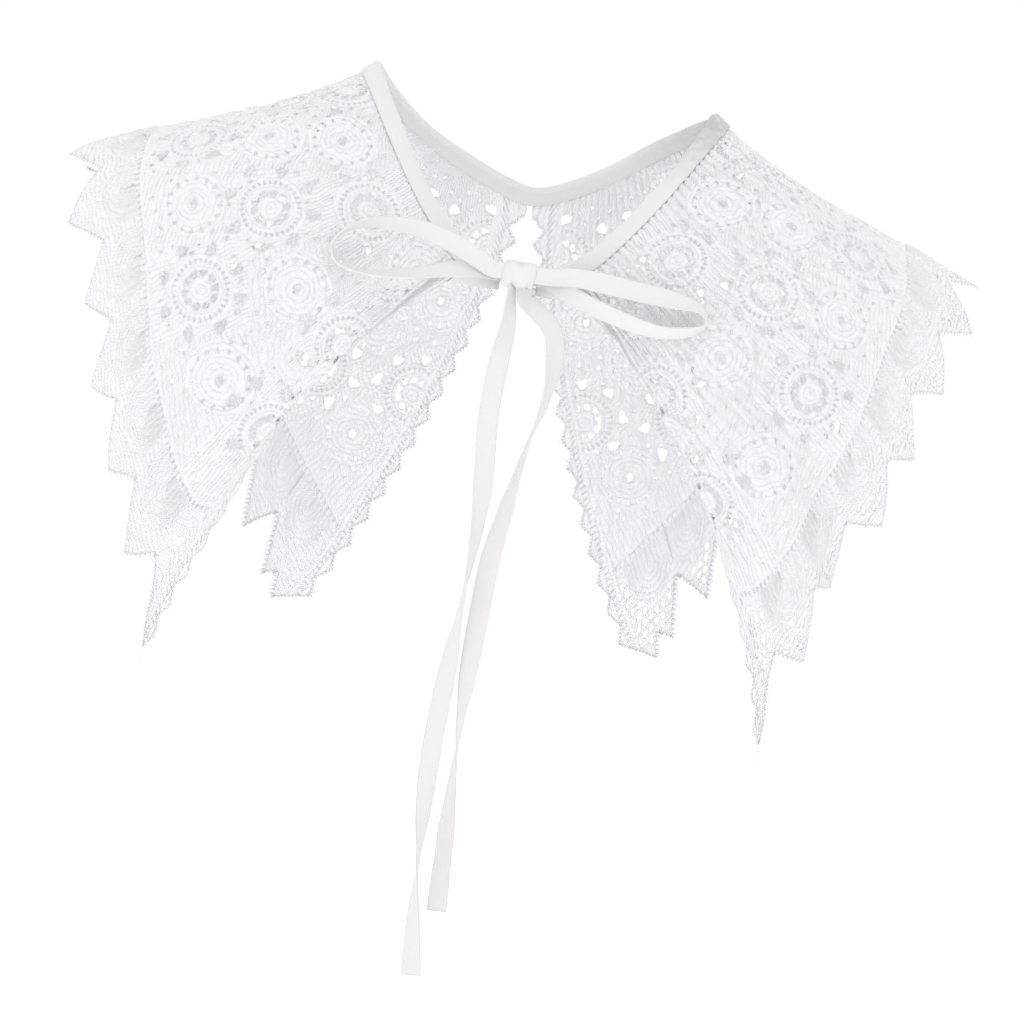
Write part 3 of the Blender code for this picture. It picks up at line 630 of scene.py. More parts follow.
def wheels_and_flowers():
    """Centres of the motifs in one half, as (kind, share, down)."""
    motifs = []
    for row, distance in enumerate(ROW_DISTANCES):
        downs = down_from_hem(RULER_SHARES, distance)
        lengths = path_lengths(plain_surface(RULER_SHARES, downs))
        clear = downs * FALL_LENGTHS > PLAIN_NECK + HOLE_DIAMETER
        count = int((lengths[-1] - 2 * PLAIN_EDGE) / MOTIF_SPACING)
        start = (lengths[-1] - count * MOTIF_SPACING) / 2
        for i in range(count + 1):
            spot = int(np.searchsorted(lengths, start + i * MOTIF_SPACING))
            if clear[spot]:
                kind = "wheel" if (i + row) % 2 == 0 else "flower"
                motifs.append((kind, float(RULER_SHARES[spot]), float(downs[spot])))
    return motifs


MOTIFS = wheels_and_flowers()
IS_WHEEL = np.array([kind == "wheel" for kind, _, _ in MOTIFS])
MOTIF_CENTRES = np.concatenate([plain_surface(share, down) for _, share, down in MOTIFS])
MOTIF_ALONG, MOTIF_FALL = map(np.concatenate, zip(*[slopes(share, down) for _, share, down in MOTIFS]))
MOTIF_ALONG = unit(MOTIF_ALONG)
MOTIF_UP = unit(MOTIF_FALL - MOTIF_ALONG * (MOTIF_FALL * MOTIF_ALONG).sum(axis=1)[:, None])


def open_holes():
    """Centres of the open holes round the wheels, on the plain surface."""
    placed = []
    for kind, share, down in MOTIFS:
        for i in range(WHEEL_HOLES if kind == "wheel" else 0):
            angle = 2 * math.pi * (i + 0.5) / WHEEL_HOLES
            spot = in_plane(share, down, HOLE_RING * math.cos(angle), HOLE_RING * math.sin(angle))
            if min(*spot, 1 - spot[0], 1 - spot[1]) < NEAR_EDGE:
                continue
            width = np.linalg.norm(slopes(*spot)[0])
            where = plain_surface(*spot)[0]
            clear = (
                min(spot[0], 1 - spot[0]) * width > PLAIN_EDGE
                and spot[1] * fall_length(spot[0]) > PLAIN_NECK
                and spot[1] < down_from_hem(spot[0], HEM_BORDER)
                and abs(spot[0] - SHOULDER) * width > HOLE_DIAMETER
                and all(np.linalg.norm(where - other) > 2 * HOLE_DIAMETER for other in placed)
            )
            if clear:
                placed.append(where)
    return np.array(placed)


OPEN_HOLES = open_holes()
CHANCE = np.random.default_rng(7)
HOLE_PULLS = CHANCE.uniform(1.0, 1.28, len(OPEN_HOLES))
HOLE_LEANS = CHANCE.uniform(0, math.pi, len(OPEN_HOLES))
COLUMN_STEP, BORDER_STEP, FIELD_STEP, LACE_PLY = 1.04, 0.98, 1.2, 0.8
FRONT_FAN, BACK_FAN, FAN_FOOT, FAN_TOP = 17.5, 15.0, 22.0, 44.0
NET_ACROSS, NET_UP, NET_BORDER = 4.7, 4.2, 2.6
NET_RADIUS = {"left": 0.0, "right": 1.6}
LADDER_LOW, LADDER_HIGH, LADDER_PITCH = 45.4, 49.4, 3.4
EDGE_BAND, EDGE_SLITS, EDGE_SLIT_PITCH, EDGE_SLIT_HALF, LADDER_SLIT_HALF = 12.0, 7.0, 3.0, 1.3, 1.1
RING_HOLES, RING_MIDDLE, RING_HALF, RING_BAR, RING_ROUND = 10, 8.1, 1.9, 0.7, 0.8
WHEEL_SLITS, WHEEL_SLIT_AT, WHEEL_SLIT_HALF = 32, 14.3, 1.3
FLOWER_SLOTS, SLOT_MIDDLE, SLOT_HALF, SLOT_WIDTH, PETALS, FLOWER_EYE = 16, 14.0, 1.6, 0.85, 8, 2.2
MOTIF_REACH, FILLING_TURN, PETAL_DEPTH, SLOT_ROUND = 17.8, 1.7, 0.5, 0.6
STITCH_ROW, STITCH_PITCH = 2.9, 1.75
SWELL_RISE, SWELL_ACROSS, SWELL_DOWN, ROW_RISE = 0.45, 6.5, 8.0, 0.28
Ridge = namedtuple("Ridge", "at width rise")
LADDER_CORDS = [Ridge(LADDER_LOW, 0.9, 0.35), Ridge(LADDER_HIGH, 0.9, 0.35)]
WHEEL_RINGS, WHEEL_HUB, WHEEL_HUB_RISE = [Ridge(11.5, 1.3, 0.75), Ridge(17.0, 1.0, 0.5)], 6.0, 0.35
FLOWER_RINGS = [Ridge(16.8, 1.0, 0.5), Ridge(FLOWER_EYE + 1.4, 0.9, 0.5)]
PETAL_RING, HOLE_CORD, HEM_CORD = Ridge(8.0, 3.6, 1.0), Ridge(4.3, 0.9, 0.4), Ridge(1.4, 1.0, 0.45)
EDGE_CORDS = [Ridge(1.6, 1.1, 0.45), Ridge(EDGE_BAND, 0.8, 0.4)]
FAN_RISE, FAN_ROUND, FAN_CORD = 0.9, 7.0, Ridge(1.2, 0.9, 0.6)
IN_MOTIF, IN_LADDER, IN_FAN, IN_NET, IN_EDGE, IN_FILLING = range(6)
SMALL_HOLE_TRIES, SMALL_HOLE_SPREAD, SMALL_HOLE_SIZES = 3000, 5.4, (0.8, 1.45)
SMALL_HOLE_RIM, SMALL_HOLE_DEEPEST, SMALL_HOLE_SHARES = 4.0, 230.0, (0.03, 0.97)
UNDER_TAPE, NET_CLEAR, WAVE_BEND, WAVE_BEND_DOWN, WAVE_LEAN = 4.0, 0.9, 1.3, 11.0, 23.0
RIB_PITCH, RIB_SLANT, RIB_RISE = 8.2, 0.4, {-1: 0.15, 1: 0.6}
HOLE_CORNER_PULL = 0.17
FAR = 9.0


def small_holes():
    """Little gaps scattered through the filling between the motifs."""
    shares = CHANCE.uniform(*SMALL_HOLE_SHARES, SMALL_HOLE_TRIES)
    distances = CHANCE.uniform(HEM_BORDER + SMALL_HOLE_RIM, SMALL_HOLE_DEEPEST, SMALL_HOLE_TRIES)
    downs = down_from_hem(shares, distances)
    points = plain_surface(shares, downs)
    widths = np.linalg.norm(slopes(shares, downs)[0], axis=1)
    fits = downs * fall_length(shares) > PLAIN_NECK
    fits &= np.minimum(shares, 1 - shares) * widths > PLAIN_EDGE
    fits &= np.abs(shares - SHOULDER) * widths > HOLE_DIAMETER
    fits &= nearest_of(points, MOTIF_CENTRES)[1] > MOTIF_REACH
    fits &= nearest_of(points, OPEN_HOLES)[1] > HOLE_DIAMETER - 0.6
    placed = []
    for point in points[fits]:
        if all(np.linalg.norm(point - other) > SMALL_HOLE_SPREAD for other in placed):
            placed.append(point)
    return np.array(placed), CHANCE.uniform(*SMALL_HOLE_SIZES, len(placed))


def box_distance(x, y, half_x, half_y, rounding):
    """Distance outside a rounded box, negative inside it."""
    qx, qy = np.abs(x) - half_x + rounding, np.abs(y) - half_y + rounding
    outside = np.hypot(np.maximum(qx, 0), np.maximum(qy, 0))
    return outside + np.minimum(np.maximum(qx, qy), 0) - rounding


def raised(x, *ridges):
    """Height of the rounded ridges worked into the lace, at a distance x."""
    return sum(ridge.rise * np.exp(-(((x - ridge.at) / ridge.width) ** 2)) for ridge in ridges)


def round_motif(radius, angle, count):
    """Place across the nearest of the spokes, and the room between two of them."""
    room = 2 * math.pi * radius / count
    return ((angle / (2 * math.pi) * count) % 1 - 0.5) * room, room


def fan_distance(x, depth):
    """Distance outside the nearest fan, its tip's place, and along its rows."""
    tips = np.array(TOOTH_TIPS)
    nearest = tips[np.abs(x[:, None] - tips).argmin(axis=1)]
    half = np.where(nearest < tips[FRONT_TEETH - 1] + 1, FRONT_FAN, BACK_FAN)
    rise = np.maximum(FAN_FOOT + half - depth, 0)
    distance = np.hypot(x - nearest, rise)
    angle = np.arctan2(x - nearest, rise)
    straight = np.sign(x - nearest) * np.maximum(depth - FAN_FOOT - half, 0)
    return distance - half, angle * distance + straight


def hem_distance(x, depth):
    """Distance inside the toothed hem, negative beyond it."""
    corners = hem_corners()
    starts, ends = corners[:-1], corners[1:]
    spots = np.stack([x, depth], axis=1)[:, None]
    runs = ends - starts
    t = np.clip(((spots - starts) * runs).sum(axis=2) / (runs**2).sum(axis=1), 0, 1)
    away = np.linalg.norm(spots - (starts + t[:, :, None] * runs), axis=2).min(axis=1)
    inside = depth > np.interp(x, corners[:, 0], corners[:, 1])
    return np.where(inside, away, -away)


def edge_notch(phase):
    """Depth of the small edge teeth, from 0 at a tip to 1."""
    lean = EDGE_TOOTH_LEAN
    return np.where(phase < lean, phase / lean, (1 - phase) / (1 - lean))


def edge_distance(share, down, depth):
    """Distance in from the front or back edge, and inside its small teeth."""
    back = share > SHOULDER
    edge = np.where(back, 1.0, 0.0)
    inward = np.where(back, 1 - share, share) * np.linalg.norm(slopes(edge, down)[0], axis=1)
    top = down_from_neck(edge, EDGE_TOP)
    bottom = np.where(back, down_from_hem(1.0, BACK_POINT_CUT), 1.0)
    count = np.round((bottom - top) * fall_length(edge) / EDGE_TOOTH_PITCH)
    phase = np.clip((down - top) / (bottom - top), 0, 1) * count % 1
    return inward, inward - EDGE_TOOTH_DEPTH * edge_notch(phase)


def motif_place(points, motif):
    """Radius and angle of each point round its motif's centre."""
    away = points - MOTIF_CENTRES[motif]
    across = (away * MOTIF_ALONG[motif]).sum(axis=1)
    up = (away * MOTIF_UP[motif]).sum(axis=1)
    return np.linalg.norm(away, axis=1), np.arctan2(up, across)


def nearest_of(points, centres):
    """Index of the nearest centre to each point, and its distance."""
    index = np.zeros(len(points), dtype=int)
    best = np.full(len(points), np.inf)
    for i, centre in enumerate(centres):
        away = np.linalg.norm(points - centre, axis=1)
        closer = away < best
        index[closer], best[closer] = i, away[closer]
    return index, best


SMALL_HOLES, SMALL_HOLE_RADII = small_holes()


def plan_lace(share, depth, net_radius):
    """Where there is cloth, how far it is raised, and what each spot belongs to."""
    down = down_from_hem(share, depth)
    points = plain_surface(share, down)
    x = np.interp(share, RULER_SHARES, HEM_DISTANCES)
    motif, _ = nearest_of(points, MOTIF_CENTRES)
    radius, angle = motif_place(points, motif)
    wheel = IS_WHEEL[motif]
    edge, tooth = edge_distance(share, down, depth)
    fan, fan_along = fan_distance(x, depth)
    in_border = depth < LADDER_LOW
    in_field = depth > LADDER_HIGH
    field = in_field & (edge > EDGE_BAND)

    cloth = np.minimum(hem_distance(x, depth), tooth)
    cloth = np.minimum(cloth, (down - down_from_neck(share, UNDER_TAPE)) * fall_length(share))
    hole, _ = nearest_of(points, OPEN_HOLES)
    away = points - OPEN_HOLES[hole]
    lean = HOLE_LEANS[hole]
    first = (away * MOTIF_ALONG[motif]).sum(axis=1)
    second = (away * MOTIF_UP[motif]).sum(axis=1)
    long_way = first * np.cos(lean) + second * np.sin(lean)
    short_way = second * np.cos(lean) - first * np.sin(lean)
    pulled = np.sqrt((long_way / HOLE_PULLS[hole]) ** 2 + (short_way * HOLE_PULLS[hole]) ** 2)
    pulled *= 1 + HOLE_CORNER_PULL * np.cos(3 * np.arctan2(second, first) + 6 * lean)
    pulled = np.where(np.linalg.norm(away, axis=1) < FAR, pulled, FAR)
    cloth = np.minimum(cloth, pulled - HOLE_DIAMETER / 2)
    small, off_small = nearest_of(points, SMALL_HOLES)
    cloth = np.where(field, np.minimum(cloth, off_small - SMALL_HOLE_RADII[small]), cloth)
    across, room = round_motif(radius, angle, RING_HOLES)
    ring = box_distance(radius - RING_MIDDLE, across, RING_HALF, room / 2 - RING_BAR, RING_ROUND)
    cloth = np.where(field & wheel, np.minimum(cloth, ring), cloth)
    eye = radius - FLOWER_EYE - PETAL_DEPTH * np.cos(PETALS * angle)
    across, _ = round_motif(radius, angle, FLOWER_SLOTS)
    slots = box_distance(radius - SLOT_MIDDLE, across, SLOT_HALF, SLOT_WIDTH, SLOT_ROUND)
    cloth = np.where(field & ~wheel, np.minimum(cloth, np.minimum(eye, slots)), cloth)

    row = np.round(depth / NET_UP)
    shift = (row % 2) * NET_ACROSS / 2
    cell = np.round((x - shift) / NET_ACROSS)
    hole_x, hole_depth = cell * NET_ACROSS + shift, row * NET_UP
    net = np.hypot(x - hole_x, depth - hole_depth) - net_radius
    clear = (
        (fan_distance(hole_x, hole_depth)[0] > net_radius + NET_CLEAR)
        & (hem_distance(hole_x, hole_depth) > net_radius + NET_BORDER)
        & (hole_depth < FAN_TOP - 2)
        & (edge > EDGE_BAND)
    )
    cloth = np.where(clear & in_border, np.minimum(cloth, net), cloth)

    lift = raised(depth, *LADDER_CORDS)
    fans = in_border & (fan < 0)
    fan_rows = ROW_RISE * np.cos(2 * math.pi * fan / STITCH_ROW)
    fan_rise = FAN_RISE * np.clip(-fan / FAN_ROUND, 0, 1) ** 0.6 + raised(-fan, FAN_CORD)
    lift += np.where(fans, fan_rise + fan_rows, 0)
    rings = raised(radius, *WHEEL_RINGS) + WHEEL_HUB_RISE * (radius < WHEEL_HUB)
    lobes = np.maximum(np.cos(PETALS / 2 * angle) ** 2 - 0.25, 0)
    petals = lobes * raised(radius, PETAL_RING) + raised(radius, *FLOWER_RINGS)
    lift += np.where(field, np.where(wheel, rings, petals), 0)
    lift += np.where(field, raised(nearest_of(points, OPEN_HOLES)[1], HOLE_CORD), 0)
    lift += raised(edge, *EDGE_CORDS)
    lift += np.where(in_border, raised(hem_distance(x, depth), HEM_CORD), 0)
    bent = WAVE_BEND * np.sin(depth / WAVE_BEND_DOWN)
    lift += SWELL_RISE * np.sin(x / SWELL_ACROSS + bent) * np.sin(depth / SWELL_DOWN + x / WAVE_LEAN)
    neck = (down - down_from_neck(share, TAPE_WIDTH)) * fall_length(share)
    lift *= np.clip(neck / 4, 0, 1)

    region = np.where(radius > MOTIF_REACH, IN_FILLING, IN_MOTIF)
    region[in_border] = IN_NET
    region[fans] = IN_FAN
    region[~in_border & ~in_field] = IN_LADDER
    region[edge < EDGE_BAND] = IN_EDGE
    return cloth, lift, points, motif, region, (x, depth, edge, fan, fan_along)


def corner_maps(plan, corner_vertex, face_motif, face_region):
    """Two UV maps for the corners: stitch rows, and the small slits, by region."""
    _, _, points, _, _, (x, depth, edge, fan, fan_along) = plan
    motif, region = np.repeat(face_motif, 4), np.repeat(face_region, 4)
    at = corner_vertex
    radius, angle = motif_place(points[at], motif)
    first = np.repeat(angle.reshape(-1, 4)[:, 0], 4)
    angle = first + (angle - first + math.pi) % (2 * math.pi) - math.pi
    middle = np.repeat(radius.reshape(-1, 4).mean(axis=1), 4)
    stitches = np.maximum(np.round(2 * math.pi * middle / STITCH_PITCH), 5)
    wheel = IS_WHEEL[motif]
    lean = motif * FILLING_TURN
    over = x[at] * np.cos(lean) + depth[at] * np.sin(lean)
    beside = depth[at] * np.cos(lean) - x[at] * np.sin(lean)
    rows_u = np.choose(region, [radius, depth[at] - LADDER_LOW, -fan[at], depth[at], edge[at], over])
    along = angle / (2 * math.pi) * stitches * STITCH_PITCH
    rows_v = np.choose(region, [along, x[at], fan_along[at], x[at], depth[at], beside])
    slit_at = np.where(wheel, WHEEL_SLIT_AT, FAR * FAR)
    slit_half = np.where(wheel, WHEEL_SLIT_HALF, 1.0)
    slit_count = np.where(wheel, WHEEL_SLITS, 1)
    ladder = (depth[at] - (LADDER_LOW + LADDER_HIGH) / 2) / LADDER_SLIT_HALF
    none = np.full(len(at), FAR)
    ring_slits, edge_slits = (radius - slit_at) / slit_half, (edge[at] - EDGE_SLITS) / EDGE_SLIT_HALF
    slits_u = np.choose(region, [ring_slits, ladder, none, none, edge_slits, none])
    ring_turns = angle / (2 * math.pi) * slit_count
    slits_v = np.choose(
        region, [ring_turns, x[at] / LADDER_PITCH, none, none, depth[at] / EDGE_SLIT_PITCH, none]
    )
    return np.stack([rows_u, rows_v], axis=1), np.stack([slits_u, slits_v], axis=1)


def largest_part(kept):
    """The kept cells that hang together, from the biggest patch of them."""
    label = np.zeros(kept.shape, dtype=int)
    best, best_size, mark = 0, 0, 0
    for seed in zip(*np.nonzero(kept)):
        if label[seed]:
            continue
        mark += 1
        label[seed] = mark
        stack, size = [seed], 0
        while stack:
            i, j = stack.pop()
            size += 1
            for k, m in ((i + 1, j), (i - 1, j), (i, j + 1), (i, j - 1)):
                inside = 0 <= k < kept.shape[0] and 0 <= m < kept.shape[1]
                if inside and kept[k, m] and not label[k, m]:
                    label[k, m] = mark
                    stack.append((k, m))
        if size > best_size:
            best, best_size = mark, size
    return label == best


OVER_HEM, SLIDE_REACH, EDGE_SLIDE = -1.0, 0.6, 0.5
RIB_FADE, RIB_SWAY = 12.0, 0.8


def weave_panel(first, last, net_radius):
    """The flat cut of a panel: its grid, its plan, and which cells are cloth."""
    columns = round((last - first) * HEM_LENGTH / COLUMN_STEP)
    deepest = square_fall(np.linspace(first, last, 50)).max()
    depths = np.arange(OVER_HEM, HEM_BORDER, BORDER_STEP)
    depths = np.concatenate([depths, np.arange(HEM_BORDER, deepest, FIELD_STEP)])
    steps = np.arange(columns + 1)
    column, row = (values.ravel() for values in np.meshgrid(steps, np.arange(len(depths))))

    def spot(column, row):
        share = first + (last - first) * column / columns
        return share, np.interp(row, np.arange(len(depths)), depths)

    plan = plan_lace(*spot(column, row), net_radius)
    cloth = plan[0].reshape(len(depths), columns + 1)
    d_row, d_column = np.gradient(cloth)
    steep = d_row**2 + d_column**2 + 1e-6
    slide_row, slide_column = -cloth * d_row / steep, -cloth * d_column / steep
    near = np.hypot(slide_row, slide_column) < SLIDE_REACH
    near[:, [0, -1]] &= np.abs(slide_row[:, [0, -1]]) < EDGE_SLIDE
    slide_column[:, [0, -1]] = 0
    moved_row = row + np.where(near, slide_row, 0).ravel()
    moved_column = column + np.where(near, slide_column, 0).ravel()
    settled = plan_lace(*spot(moved_column, moved_row), net_radius)
    middle = (cloth[:-1, :-1] + cloth[1:, :-1] + cloth[:-1, 1:] + cloth[1:, 1:]) / 4
    kept = largest_part(middle > 0)
    return columns, len(depths) - 1, spot(moved_column, moved_row), settled, kept


def lay_panel(name, side, panel, material):
    """A panel laid on the worn form."""
    columns, rows, (share, depth), plan, kept = panel
    shape, a, b = lay_grid(columns, rows)
    at = np.rint(b * rows).astype(int) * (columns + 1) + np.rint(a * columns).astype(int)
    x, inside = plan[5][0], np.clip((depth - LADDER_HIGH) / RIB_FADE, 0, 1)
    sway = RIB_SWAY * np.sin(x / 19 + depth / 13)
    ribs = np.sin(2 * math.pi * (x + RIB_SLANT * depth) / RIB_PITCH + sway)
    lift = plan[1] + RIB_RISE[side] * ribs * inside
    points = worn(share, down_from_hem(share, depth), side, lift) * MM
    index = shape.verts.layers.int.new("grid")
    for vert, spot in zip(shape.verts, at):
        vert.co = points[spot]
        vert[index] = spot
    gone = []
    for face in shape.faces:
        lowest = min(corner.vert[index] for corner in face.loops)
        if not kept[lowest // (columns + 1), lowest % (columns + 1)]:
            gone.append(face)
    bmesh.ops.delete(shape, geom=gone, context="FACES")
    if side < 0:
        bmesh.ops.reverse_faces(shape, faces=shape.faces)
    mesh = to_mesh(name, shape)
    corner_vertex = np.empty(len(mesh.loops), dtype=np.int32)
    mesh.loops.foreach_get("vertex_index", corner_vertex)
    spots = np.empty(len(mesh.vertices), dtype=np.int32)
    mesh.attributes["grid"].data.foreach_get("value", spots)
    corners = spots[corner_vertex]
    lead = corners.reshape(-1, 4)[:, 0]
    rows_map, slits_map = corner_maps(plan, corners, plan[3][lead], plan[4][lead])
    mesh.uv_layers.active.name = "rows"
    mesh.uv_layers["rows"].data.foreach_set("uv", rows_map.ravel())
    mesh.uv_layers.new(name="slits").data.foreach_set("uv", slits_map.ravel())
    mesh.attributes.remove(mesh.attributes["grid"])
    piece = finish_piece(name, mesh, material)
    wall = piece.modifiers.new("thickness", "SOLIDIFY")
    wall.thickness = LACE_PLY * MM
    wall.offset = 0.0
    return piece


# LACE_SHADE is the darker colour for the painted shade in the grooves between the rows and in the
# slits, and for the uneven cloudy tone.
LACE_COLOUR, LACE_SHADE = (0.85, 0.843, 0.876), (0.55, 0.55, 0.59)
LACE_ROUGHNESS, LACE_SHEEN, LACE_WOBBLE, LACE_FIBRES, LACE_CLOUDS = 0.95, 0.15, 125.0, 1100.0, 28.0
ROW_WOBBLE, GROOVE_POWER, STITCH_SLANT, CLOUD_SHADE = 5.5, 3.0, 0.35, 0.10
SLIT_RISE, SLIT_HALF_TURN, SLIT_WOBBLE = -1.2, 0.2, 1.6
LACE_RELIEF, ROW_SHADE, SLIT_SHADE, LACE_GLOW, LACE_GLOW_REACH = 0.0007, 0.14, 0.5, 0.6, 0.0025


def crochet_lace():
    """White cotton crochet: rows of stitches, with small slits between them."""
    material, tree, shader = new_finish("white crochet lace", LACE_ROUGHNESS, LACE_SHEEN)
    shader.inputs["Subsurface Weight"].default_value = LACE_GLOW
    shader.inputs["Subsurface Radius"].default_value = (1, 1, 1)
    shader.inputs["Subsurface Scale"].default_value = LACE_GLOW_REACH
    calc = partial(calculate, tree)
    across, along = uv_parts(tree, "rows")
    off, phase = uv_parts(tree, "slits")
    coords = add_node(tree, "ShaderNodeTexCoord").outputs["Object"]
    wobble = noise(tree, coords, LACE_WOBBLE, 3.0)
    fibre = noise(tree, coords, LACE_FIBRES, 2.0)
    clouds = noise(tree, coords, LACE_CLOUDS, 2.0)

    uneven = calc("MULTIPLY", calc("SUBTRACT", wobble, 0.5), ROW_WOBBLE)
    in_row = calc("DIVIDE", calc("ADD", across, uneven), STITCH_ROW)
    from_row = calc("SUBTRACT", calc("FRACT", in_row), 0.5)
    groove = calc("POWER", calc("ABSOLUTE", calc("MULTIPLY", from_row, 2.0)), GROOVE_POWER)
    slant = calc("MULTIPLY_ADD", across, STITCH_SLANT, along)
    turn = calc("ADD", slant, calc("MULTIPLY", uneven, 0.5))
    turn = calc("MULTIPLY", turn, 2 * math.pi / STITCH_PITCH)
    stitch = calc("MULTIPLY_ADD", calc("SINE", turn), 0.5, 0.5)
    body = calc("MULTIPLY", calc("SUBTRACT", 1.0, groove), calc("MULTIPLY_ADD", stitch, 0.5, 0.5))

    span = calc("SUBTRACT", 1.0, calc("SMOOTH_MIN", calc("ABSOLUTE", off), 1.0, 0.2))
    span = limit(tree, calc("MULTIPLY", span, 4.0))
    middle = calc("ABSOLUTE", calc("SUBTRACT", calc("FRACT", phase), 0.5))
    gap = limit(tree, calc("MULTIPLY", calc("SUBTRACT", SLIT_HALF_TURN, middle), 8.0))
    slit = calc("MULTIPLY", calc("MULTIPLY", span, gap), calc("MULTIPLY", wobble, SLIT_WOBBLE))
    height = calc("MULTIPLY_ADD", fibre, FIBRE_RISE, body)
    height = calc("MULTIPLY_ADD", slit, SLIT_RISE, height)
    raise_surface(tree, shader, height, 1.0, LACE_RELIEF)

    # Painted shade: the grooves between the stitch rows and the small slits are painted darker, where
    # shade falls in them.
    shade = calc("MULTIPLY", calc("SUBTRACT", 1.0, body), ROW_SHADE)
    shade = calc("MULTIPLY_ADD", slit, SLIT_SHADE, shade)
    shade = calc("MULTIPLY_ADD", clouds, CLOUD_SHADE, shade)
    shade = calc("MINIMUM", shade, 1.0)
    colour = blend(tree, shade, (*LACE_COLOUR, 1), (*LACE_SHADE, 1))
    tree.links.new(colour, shader.inputs["Base Color"])
    return material


LACE_FINISH = crochet_lace()
for word, side in (("left", -1), ("right", 1)):
    for part, first, last in (("front", 0.0, SHOULDER), ("back", SHOULDER, 1.0)):
        panel = weave_panel(first, last, NET_RADIUS[word])
        lace = lay_panel(f"crochet_{word}_{part}", side, panel, LACE_FINISH)
        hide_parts(f"lace_{word}_{part}")


# Picot edging
# Tiny looped stitches worked all round the free edges of each half: round ones
# along the front side of every hem tooth, and finer ones along the rest.
RUN_STEPS, EDGE_STEPS, FRONT_TIP, PICOT_OVERLAP = 16, 600, 0.95, 0.54
Picot = namedtuple("Picot", "pitch across thick")
ROUND_PICOT, FINE_PICOT = Picot(2.6, 1.7, 0.95), Picot(2.1, 1.15, 0.75)
PICOT_COLUMNS, PICOT_ROWS = 8, 5
PICOT_ROW = (STITCH_ROW / 2, STITCH_PITCH / 4 - STITCH_SLANT * STITCH_ROW / 2)


def hem_runs():
    """Stretches of the toothed hem, as (shares, downs, picot)."""
    corners = hem_corners()
    runs = []
    for (x0, depth0), (x1, depth1) in zip(corners, corners[1:]):
        t = np.linspace(0, 1, RUN_STEPS)
        shares = np.interp(x0 + (x1 - x0) * t, HEM_DISTANCES, RULER_SHARES)
        picot = ROUND_PICOT if depth1 < depth0 else FINE_PICOT
        runs.append((shares, down_from_hem(shares, depth0 + (depth1 - depth0) * t), picot))
    return runs


def edge_run(share, bottom, stop):
    """The small teeth of the front or back edge, as one stretch."""
    top = down_from_neck(np.array([share]), EDGE_TOP)[0]
    downs = np.linspace(top, stop, EDGE_STEPS)
    count = np.round((bottom - top) * fall_length(share) / EDGE_TOOTH_PITCH)
    phase = (downs - top) / (bottom - top) * count % 1
    widths = np.linalg.norm(slopes(np.full(len(downs), share), downs)[0], axis=1)
    inward = EDGE_TOOTH_DEPTH * edge_notch(phase) / widths
    return (share + inward if share == 0 else share - inward), downs, FINE_PICOT


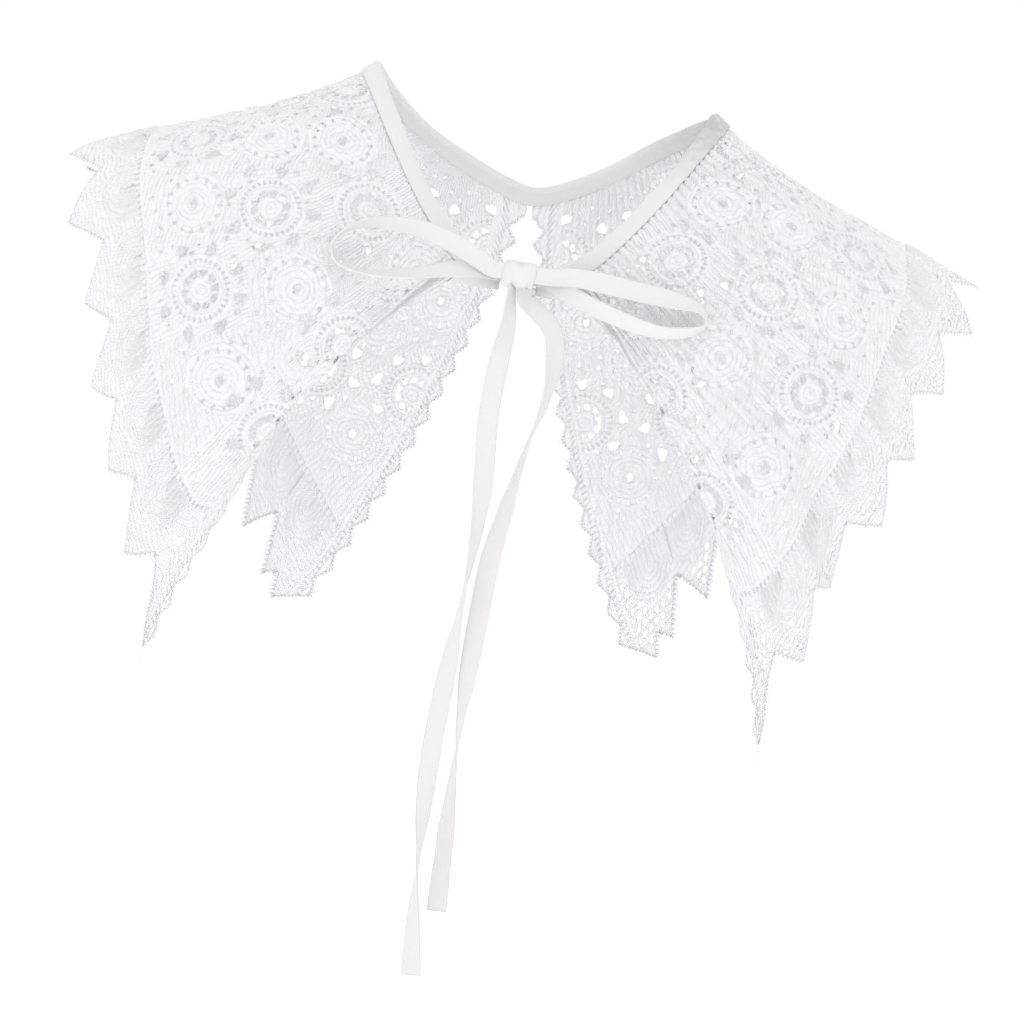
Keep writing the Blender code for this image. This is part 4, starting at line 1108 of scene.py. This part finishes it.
BACK_END = float(down_from_hem(1.0, BACK_POINT_CUT))
RUNS = hem_runs()
RUNS += [edge_run(0.0, 1.0, FRONT_TIP), edge_run(1.0, BACK_END, BACK_END)]
for side, word in ((-1, "left"), (1, "right")):
    edging = bmesh.new()
    for shares, downs, picot in RUNS:
        stretch = bmesh.new()
        line = worn(shares, downs, side)
        lifted = worn(shares, downs, side, 1.0)
        lengths = path_lengths(line)
        count = max(round(lengths[-1] / picot.pitch), 1)
        for i in range(count):
            at = lengths[-1] * (i + 0.5) / count
            spot, out, ahead = (
                np.array([np.interp(at + step, lengths, values[:, k]) for k in range(3)])
                for values, step in ((line, 0), (lifted, 0), (line, 0.5))
            )
            normal = unit(out - spot)
            forward = unit(ahead - spot)
            forward = unit(forward - normal * forward.dot(normal))
            aside = np.cross(normal, forward)
            reach = forward * lengths[-1] / count * PICOT_OVERLAP
            axes = [reach, aside * picot.across, normal * picot.thick]
            place = Matrix.Identity(4)
            for k, axis in enumerate(axes):
                place.col[k] = (*axis * MM, 0)
            place.col[3] = (*spot * MM, 1)
            bmesh.ops.create_uvsphere(
                stretch, u_segments=PICOT_COLUMNS, v_segments=PICOT_ROWS, radius=1.0, matrix=place,
            )
        worked = to_mesh("stretch", stretch)
        edging.from_mesh(worked)
        bpy.data.meshes.remove(worked)
    mesh = finish_piece(f"picots_{word}", edging, LACE_FINISH).data
    for name, spot in (("rows", PICOT_ROW), ("slits", (FAR, 0.5))):
        mesh.uv_layers.new(name=name).data.foreach_set("uv", np.tile(spot, len(mesh.loops)))


# Floor and light
# A plain white floor well below the collar, an even white surround, a soft lamp
# at the upper left, one over the neck, and one behind that shines through the lace.
FLOOR_PLACE, FLOOR_RADIUS, FLOOR_COLOUR, FLOOR_GLOW = -0.9, 12.0, (0.93, 0.93, 0.93), 0.35
shape = bmesh.new()
bmesh.ops.create_circle(
    shape, cap_ends=True, segments=64, radius=FLOOR_RADIUS,
    matrix=Matrix.Translation((0, 0, FLOOR_PLACE)),
)
mesh = to_mesh("studio_floor", shape)
paper = bpy.data.materials.new("white paper")
paper.use_nodes = True
paper_shader = paper.node_tree.nodes["Principled BSDF"]
paper_shader.inputs["Base Color"].default_value = (*FLOOR_COLOUR, 1)
paper_shader.inputs["Roughness"].default_value = 1.0
paper_shader.inputs["Emission Color"].default_value = (1, 1, 1, 1)
paper_shader.inputs["Emission Strength"].default_value = FLOOR_GLOW
mesh.materials.append(paper)
floor = bpy.data.objects.new("studio_floor", mesh)
bpy.context.scene.collection.objects.link(floor)

Lamp = namedtuple("Lamp", "name place aim size power")
LAMPS = [
    Lamp("key", (-0.9, -1.9, 0.7), (0, 0, -0.2), 0.9, 1.4),
    Lamp("neck", (0.0, -0.6, 0.75), (0, 0.05, -0.05), 0.5, 1.0),
    Lamp("back", (0.2, 1.6, 0.5), (0, 0, -0.1), 1.4, 2.5),
]
for lamp in LAMPS:
    light = bpy.data.lights.new(lamp.name, "AREA")
    light.size = lamp.size
    light.energy = lamp.power
    holder = bpy.data.objects.new(lamp.name, light)
    bpy.context.scene.collection.objects.link(holder)
    holder.location = lamp.place
    towards = Vector(lamp.aim) - Vector(lamp.place)
    holder.rotation_euler = towards.to_track_quat("-Z", "Y").to_euler()
world = bpy.data.worlds.new("studio")
world.use_nodes = True
world.node_tree.nodes["Background"].inputs[0].default_value = (1, 1, 1, 1)
world.node_tree.nodes["Background"].inputs[1].default_value = 1.0
bpy.context.scene.world = world
bpy.context.scene.view_settings.view_transform = "Standard"
